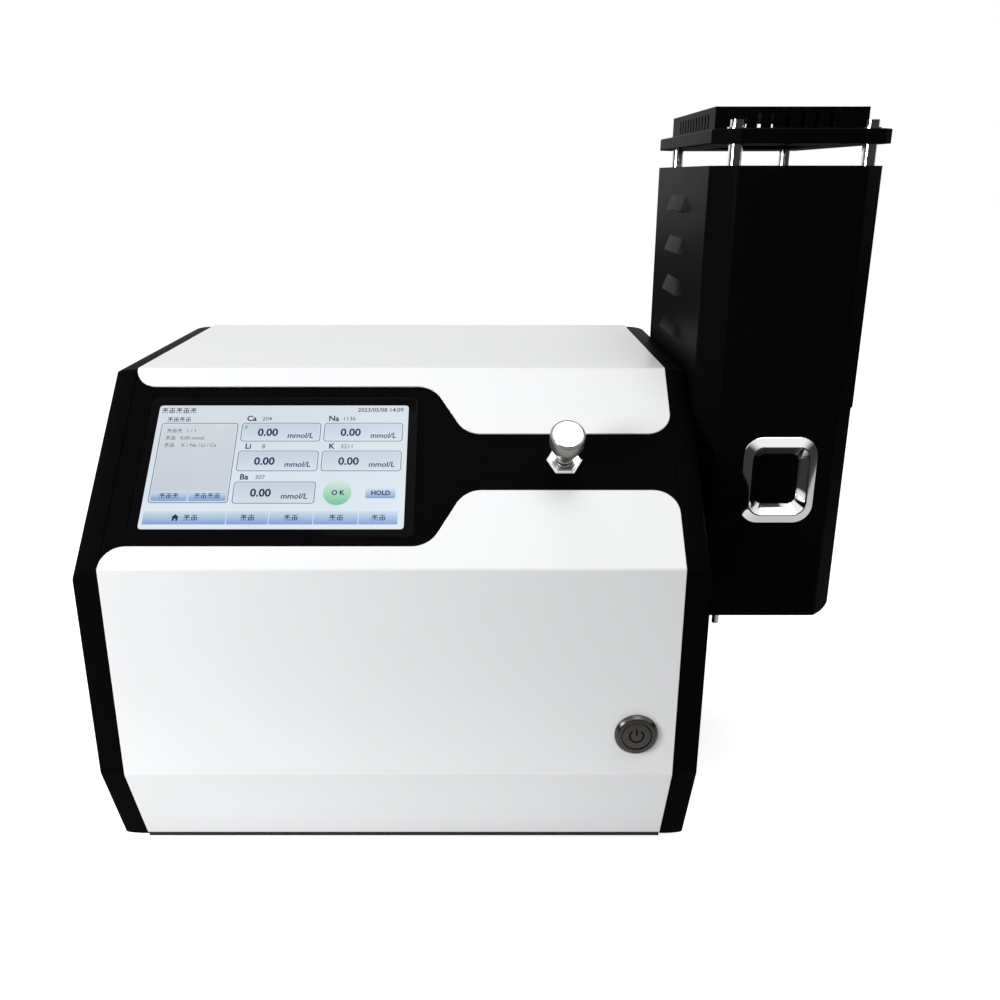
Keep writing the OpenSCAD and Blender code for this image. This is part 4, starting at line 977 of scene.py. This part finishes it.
@dataclass
class Touchscreen:
    """Touch glass in the sloping panel and the picture lit behind it."""

    form: CaseForm
    across: float = -71.4
    up: float = 69.1
    width: float = 154.1
    height: float = 85.9
    glass: Point2 = (166.0, 98.0)
    glass_depth: float = 1.1
    columns: tuple[Point2, Point2] = ((0.340, 0.655), (0.668, 0.980))
    rows: tuple[Point2, Point2, Point2] = ((0.149, 0.305), (0.382, 0.548), (0.632, 0.804))
    bar: Point2 = (0.862, 0.964)
    stops: tuple[float, ...] = (0.013, 0.329, 0.490, 0.658, 0.828, 0.978)
    house: tuple[Point2, ...] = ((-2.3, 0.1), (0, 2.3), (2.3, 0.1), (1.6, 0.1), (1.6, -2.1), (0.5, -2.1),
                                 (0.5, -0.7), (-0.5, -0.7), (-0.5, -2.1), (-1.6, -2.1), (-1.6, 0.1))

    def build(self) -> None:
        """Make the glass plate and the lit picture."""
        face = -self.form.sheet
        place = self.form.slope(self.across, self.up, face)
        work = bmesh.new()
        loops = [(rectangle(self.glass[0] - d, self.glass[1] - d, 4 - d / 2, 8), h)
                 for d, h in ((0.0, -self.glass_depth), (0.0, -0.25), (0.2, -0.08), (0.6, 0.0))]
        solid(work, [[placed(place, x, y, h) for x, y in loop] for loop, h in loops])
        fit_out(from_bmesh("touch_glass", work), FINISHES["screen_glass"], CASE, ["display_glass"])
        picture = Picture(place, self.width, self.height)
        self.draw(picture)
        fit_out(from_bmesh("screen_picture", picture.work), LitFinish(), CASE)

    def draw(self, picture: Picture) -> None:
        """Lay out the picture.

        Args:
            picture: the empty picture.
        """
        picture.panel((0.0, 0.0, 1.0, 1.0), 1, Ink.GROUND_TOP, Ink.GROUND_LOW, 2.0)
        picture.strokes(5, 0.081, 0.044, 3.9, Ink.NAVY)
        picture.words("2023/05/08 14:09", 0.888, 0.040, 4.0, Ink.NAVY, 0.05)
        picture.strokes(4, 0.087, 0.120, 3.3, Ink.NAVY)
        self.sample_field(picture)
        counts = (("Ca", "204"), ("Na", "1136"), ("Li", "8"), ("K", "3211"), ("Ba", "307"))
        for place, (symbol, count) in enumerate(counts):
            self.reading(picture, symbol, count, place % 2, place // 2)
        dot = picture.spot(0.357, 0.186)
        picture.mark(circle(1.1, 16, tuple(dot)), INK_LAYER, Ink.GREEN_LOW)
        self.keys(picture)

    def sample_field(self, picture: Picture) -> None:
        """Draw the field on the left with its lines and two small keys."""
        box = (0.020, 0.150, 0.325, 0.800)
        picture.panel(box, 2, Ink.FIELD_TOP, Ink.FIELD_LOW, 1.8)
        picture.frame(box, 4)
        lines = ((3, "1 / 1", 0.142), (2, "0.00 mmol", 0.150), (2, "K / Na / Li / Ca", 0.180))
        for row, (count, _, _) in enumerate(lines):
            picture.strokes(count, 0.043 + 0.011 * count, 0.215 + 0.06 * row, 2.9, Ink.GREY, 5)
        for row, (_, body, u) in enumerate(lines):
            picture.words(body, u, 0.217 + 0.06 * row, 3.4, Ink.GREY, 0.02)
        for left, right, count in ((0.030, 0.166, 3), (0.174, 0.315, 4)):
            picture.panel((left, 0.706, right, 0.783), 4, Ink.KEY_TOP, Ink.KEY_LOW, 0.9)
            picture.strokes(count, (left + right) / 2, 0.743, 3.5, Ink.NAVY)

    def reading(self, picture: Picture, symbol: str, count: str, column: int, row: int) -> None:
        """Draw one value box with its element symbol, count, value and unit."""
        left, right = self.columns[column]
        upper, lower = self.rows[row]
        middle = (upper + lower) / 2
        picture.panel((left, upper, right, lower), 2, Ink.BOX_TOP, Ink.BOX_LOW, 1.8)
        picture.frame((left, upper, right, lower), 4)
        picture.words(symbol, left + 0.035, upper - 0.036, 5.3, Ink.NAVY, 0.13)
        picture.words(count, left + 0.096, upper - 0.034, 4.0, Ink.GREY, 0.03)
        picture.words("0.00", left + 0.106, middle + 0.005, 7.2, Ink.NAVY, 0.20)
        picture.words("mmol/L", left + 0.235, middle + 0.030, 5.1, Ink.NAVY, 0.08, 0.12)

    def keys(self, picture: Picture) -> None:
        """Draw the round key, the hold key and the bar of keys along the bottom."""
        disc = picture.spot(0.740, 0.720)
        picture.mark(circle(8.3, 48, tuple(disc)), 4, Ink.GREEN_TOP, Ink.GREEN_LOW)
        picture.words("O K", 0.742, 0.720, 4.3, Ink.NAVY, 0.14)
        picture.panel((0.848, 0.686, 0.963, 0.763), 4, Ink.KEY_TOP, Ink.KEY_LOW, 1.0)
        picture.words("HOLD", 0.906, 0.722, 4.1, Ink.NAVY, 0.14)
        upper, lower = self.bar
        for left, right in zip(self.stops, self.stops[1:]):
            picture.panel((left, upper, right - 0.002, lower), 3, Ink.KEY_TOP, Ink.KEY_LOW, 0.4)
            rule = (right - 0.0025, upper + 0.004, right - 0.0005, lower - 0.004)
            picture.panel(rule, 4, Ink.RULE, Ink.RULE, 0.05)
        for u in (0.195, 0.410, 0.574, 0.745, 0.905):
            picture.strokes(2, u, 0.912, 3.9, Ink.NAVY)
        spot = picture.spot(0.135, 0.912)
        picture.mark([(x + spot.x, y + spot.y) for x, y in reversed(self.house)], INK_LAYER, Ink.NAVY)


# ---- controls

@dataclass
class ValveControl:
    """Needle valve's knob and its hexagonal panel nut."""

    form: CaseForm
    across: float = 100.3
    up: float = 71.5
    nut_radius: float = 10.8
    nut_height: float = 3.0
    collar: Point2 = (8.6, 3.8)
    bore: float = 6.03
    knob_steps: int = 96
    cup: tuple[Point2, ...] = (
        (3.03, 6.2), (4.5, 6.2), (4.9, 6.5), (5.2, 7.0), (9.9, 20.6), (10.12, 21.5), (10.2, 22.6),
        (10.2, 29.9), (10.05, 30.25), (9.75, 30.7), (9.4, 30.85), (9.2, 30.6), (9.1, 30.1), (0.0, 30.1))
    disc: tuple[Point2, ...] = ((8.85, 30.15), (8.85, 30.8), (8.6, 31.0), (4.0, 31.0), (0.0, 31.0))

    def place(self) -> Matrix:
        """Placing of the valve on the black panel."""
        return self.form.slope(self.across, self.up, -self.form.sheet)

    def knob(self) -> None:
        """Make the knob: a satin cup that tapers down, darker in colour as a painted reflection of the dark
        panel, and a polished disc let into its top.
        """
        cup, disc = (from_bmesh(name, lathe(profile, self.place(), self.knob_steps))
                     for name, profile in (("knob_cup", self.cup), ("knob_disc", self.disc)))
        # the cup's darker satin nickel is a painted reflection of the dark panel; the satin finish itself is
        # real
        fit_out(cup, FINISHES["satin_nickel"], "knob", ["valve_knob"], smooth=25)
        fit_out(disc, FINISHES["nickel"], "knob", smooth=25)

    def build(self) -> None:
        """Make the knob and the nut, chamfered as real ones are."""
        self.knob()
        work, place = bmesh.new(), self.place()
        around = rounded(circle(self.nut_radius, 6), [0.5] * 6, 3)
        flat = self.nut_radius * math.cos(math.radians(30))
        collar, top = self.collar

        def cut_back(limit: float) -> Outline:
            """Cut the hexagon back to a circle, as a nut's chamfer does."""
            shares = (min(1.0, limit / math.hypot(x, y)) for x, y in around)
            return [(x * share, y * share) for (x, y), share in zip(around, shares)]

        height = self.nut_height
        levels = [(around, 0.0), (around, height - 0.7), (cut_back(flat + 0.25), height - 0.1),
                  (cut_back(flat), height), (cut_back(collar), height), (cut_back(collar), top - 0.2),
                  (cut_back(collar - 0.2), top), (cut_back(self.bore), top), (cut_back(self.bore), 0.0)]
        skin(work, [[placed(place, x, y, h) for x, y in loop] for loop, h in levels], closed=True)
        fit_out(from_bmesh("valve_nut", work), FINISHES["nickel"], CASE, ["valve_panel_nut"], smooth=20)


@dataclass
class PushButton:
    """Engraved power symbol in the push button's cap."""

    form: CaseForm
    face: float = 2.62
    ring: float = 4.1
    stroke: float = 1.0
    gap: float = 38.0
    steps: int = 40
    bar: Point2 = (0.4, 4.8)

    def build(self) -> None:
        """Make the symbol as two dark inlays that ride on the cap."""
        place, work, half = self.form.button(), bmesh.new(), self.stroke / 2
        start, turn = math.radians(90 + self.gap), math.radians(360 - 2 * self.gap) / self.steps

        def row(radius: float) -> list[bmesh.types.BMVert]:
            """Points of the open ring at one radius."""
            angles = (start + turn * i for i in range(self.steps + 1))
            return [work.verts.new(placed(place, radius * math.cos(a), radius * math.sin(a), self.face))
                    for a in angles]

        inner, outer = row(self.ring - half), row(self.ring + half)
        for i in range(self.steps):
            work.faces.new((inner[i], inner[i + 1], outer[i + 1], outer[i]))
        low, high = self.bar
        bar = rounded([(-half, low), (half, low), (half, high), (-half, high)], [0.45] * 4, 4)
        work.faces.new([work.verts.new(placed(place, x, y, self.face)) for x, y in bar])
        fit_out(from_bmesh("power_symbol", work), FINISHES["black_case"], "button")


# ---- the burner tower

@dataclass
class BurnerTower:
    """Tower at the right: housing, chimney with louvres, window and the raised top."""

    bend: float = 1.6
    window: Point2 = (185.7, 238.3)
    window_size: Point2 = (46.0, 55.7)
    window_front: float = -80.3
    window_corner: float = 12.0
    section: tuple[Point3, ...] = (
        (0.0, 0.0, 0.0), (0.0, 0.9, 0.0), (0.25, 1.25, 0.2), (4.5, 3.45, 3.6), (4.85, 3.6, 3.8),
        (5.35, 3.55, 4.0), (10.0, -3.0, 7.0), (10.25, -3.4, 7.2), (10.3, -3.7, 7.2), (10.5, -4.0, 7.4))

    def build(self) -> None:
        """Make the painted shells, the top plate and the window's frame."""
        shell = Easing(0.0, self.bend, (0, 0, 1), 4, smooth=12.0)
        eased("chimney_shell", shell)
        eased("burner_housing", shell)
        eased("top_plate", Easing(0.8, 0.8, (0, 0, 1), 3, 50))
        self.window_frame()

    def window_frame(self) -> None:
        """Make the polished frame: an outward cone, a rim and a deep inner slope."""
        middle_x, middle_z = self.window
        width, height = self.window_size
        work = bmesh.new()
        loops = [(rectangle(width - 2 * inwards, height - 2.3 * inwards, self.window_corner - less, 14), out)
                 for inwards, out, less in self.section]
        back = rectangle(width - 6, height - 6, 9, 14)
        loops += [(back, -3.0), (back, 0.0)]
        skin(work, [[Vector((middle_x + x, self.window_front - out, middle_z + y)) * MM for x, y in loop]
                    for loop, out in loops], closed=True)
        fit_out(from_bmesh("window_surround", work), FINISHES["chrome"], CASE, ["window_frame"], smooth=24)


# ---- parts that keep their CAD form

@dataclass
class CarriedParts:
    """CAD parts that keep their form and get the finishes of the record's slots."""

    widths: tuple[tuple[str, float], ...] = (("power_inlet", 0.3), ("fan_frame", 0.4))

    def build(self) -> None:
        """Dress every CAD part that shows."""
        for node, width in self.widths:
            eased(node, Easing(width, segments=2))
        for node, obj in frame["nodes"].items():
            if obj.hide_render:
                continue
            obj.data.materials.clear()
            obj.data.materials.append(FINISHES[SLOT_OF[node]].material())
            LOG.info("%s: CAD form, %s", node, SLOT_OF[node])


# ---- studio

@dataclass(frozen=True)
class Lamp:
    """A soft lamp: its place, what it points at, its size and power."""

    name: str
    at: Point3
    to: Point3
    size: float
    power: float

    def build(self) -> None:
        """Hang the lamp."""
        data = bpy.data.lights.new(self.name, "AREA")
        data.shape, data.size, data.energy = "DISK", self.size, self.power
        obj = hang(bpy.data.objects.new(self.name, data))
        obj.location = self.at
        obj.rotation_euler = (Vector(self.to) - Vector(self.at)).to_track_quat("-Z", "Y").to_euler()


@dataclass
class Studio:
    """Pale floor, plain surroundings, soft lamps and the camera."""

    lens: float = 34.78
    shift: float = 0.018
    eye: Point3 = (0.001, -0.656, 0.419)
    tilt: float = 71.4
    floor_size: float = 9.0
    floor_edge: float = -0.34
    floor_lift: float = 0.8
    floor_tone: float = 0.9
    floor_back: float = 0.08
    floor_fade: Point2 = (-0.2, 0.5)
    surround: float = 0.28
    room: float = 0.04
    white_behind: Point2 = (0.0, 0.9)
    white_above: Point2 = (0.15, 0.45)
    lamps: tuple[Lamp, ...] = (
        Lamp("key", (-0.85, -0.75, 0.5), (-0.1, -0.1, 0.2), 0.45, 9.0),
        Lamp("overhead", (0.3, -0.45, 1.9), (0.0, -0.05, 0.25), 1.3, 10.0),
        Lamp("back", (-0.2, 0.7, 1.8), (0.0, 0.0, 0.3), 0.9, 5.0),
    )

    def build(self) -> None:
        """Set the floor, the surroundings, the lamps and the camera."""
        self.floor()
        self.world()
        for lamp in self.lamps:
            lamp.build()
        data = bpy.data.cameras.new("camera")
        data.lens, data.shift_x, data.clip_start = self.lens, self.shift, 0.01
        camera = hang(bpy.data.objects.new("camera", data))
        camera.location = self.eye
        camera.rotation_euler = (math.radians(self.tilt), 0, 0)
        bpy.context.scene.camera = camera
        bpy.context.scene.view_settings.view_transform = "Standard"

    def floor(self) -> None:
        """Lay the pale floor, which keeps the instrument's shadow and is darker behind it in mirrors."""
        work = bmesh.new()
        side, edge = self.floor_size, self.floor_edge
        corners = ((-side, edge, 0), (side, edge, 0), (side, side, 0), (-side, side, 0))
        work.faces.new([work.verts.new(corner) for corner in corners])
        obj = from_bmesh("floor", work)
        material = bpy.data.materials.new("floor_look")
        material.use_nodes = True
        tree = material.node_tree
        shader = tree.nodes["Principled BSDF"]
        preset(shader, Roughness=0.9, Specular_IOR_Level=0.1, Emission_Color=(1, 1, 1, 1))
        seen, mirrored = rays(tree)
        tree.links.new(maths(tree, "MULTIPLY", seen, self.floor_lift), shader.inputs["Emission Strength"])
        limits = (*self.floor_fade, 0.0, self.floor_back - self.floor_tone)
        drop = maths(tree, "MULTIPLY", mirrored, ramp(tree, axes(tree, "Object")["Y"], limits, True))
        tree.links.new(maths(tree, "ADD", drop, self.floor_tone), shader.inputs["Base Color"])
        obj.data.materials.append(material)

    def world(self) -> None:
        """Make the surroundings: white to the camera, white above and behind in mirrors, else plain light."""
        world = bpy.data.worlds.new("surroundings")
        bpy.context.scene.world = world
        world.use_nodes = True
        tree = world.node_tree
        background = tree.nodes["Background"]
        preset(background, Color=(1, 1, 1, 1))
        way = axes(tree, "Generated")
        behind, above = (ramp(tree, way[axis], (*limits, self.room, 1.0), True)
                         for axis, limits in (("Y", self.white_behind), ("Z", self.white_above)))
        seen, mirrored = rays(tree)
        level = tree.nodes.new("ShaderNodeMix")
        preset(level, A=self.surround)
        tree.links.new(mirrored, level.inputs["Factor"])
        tree.links.new(maths(tree, "MAXIMUM", behind, above), level.inputs["B"])
        tree.links.new(maths(tree, "MAXIMUM", level.outputs["Result"], seen), background.inputs["Strength"])


def main() -> None:
    """Build the pieces in order and note the sizes."""
    logging.basicConfig(level=logging.INFO, format="%(message)s")
    form = CaseForm()
    builders: tuple[Callable[[], None], ...] = (
        Covers(form).build, Cheeks(form).build, Touchscreen(form).build, ValveControl(form).build,
        PushButton(form).build, BurnerTower().build, CarriedParts().build, Studio().build)
    for build in builders:
        build()
    bpy.context.view_layer.update()


if __name__ == "__main__":
    main()
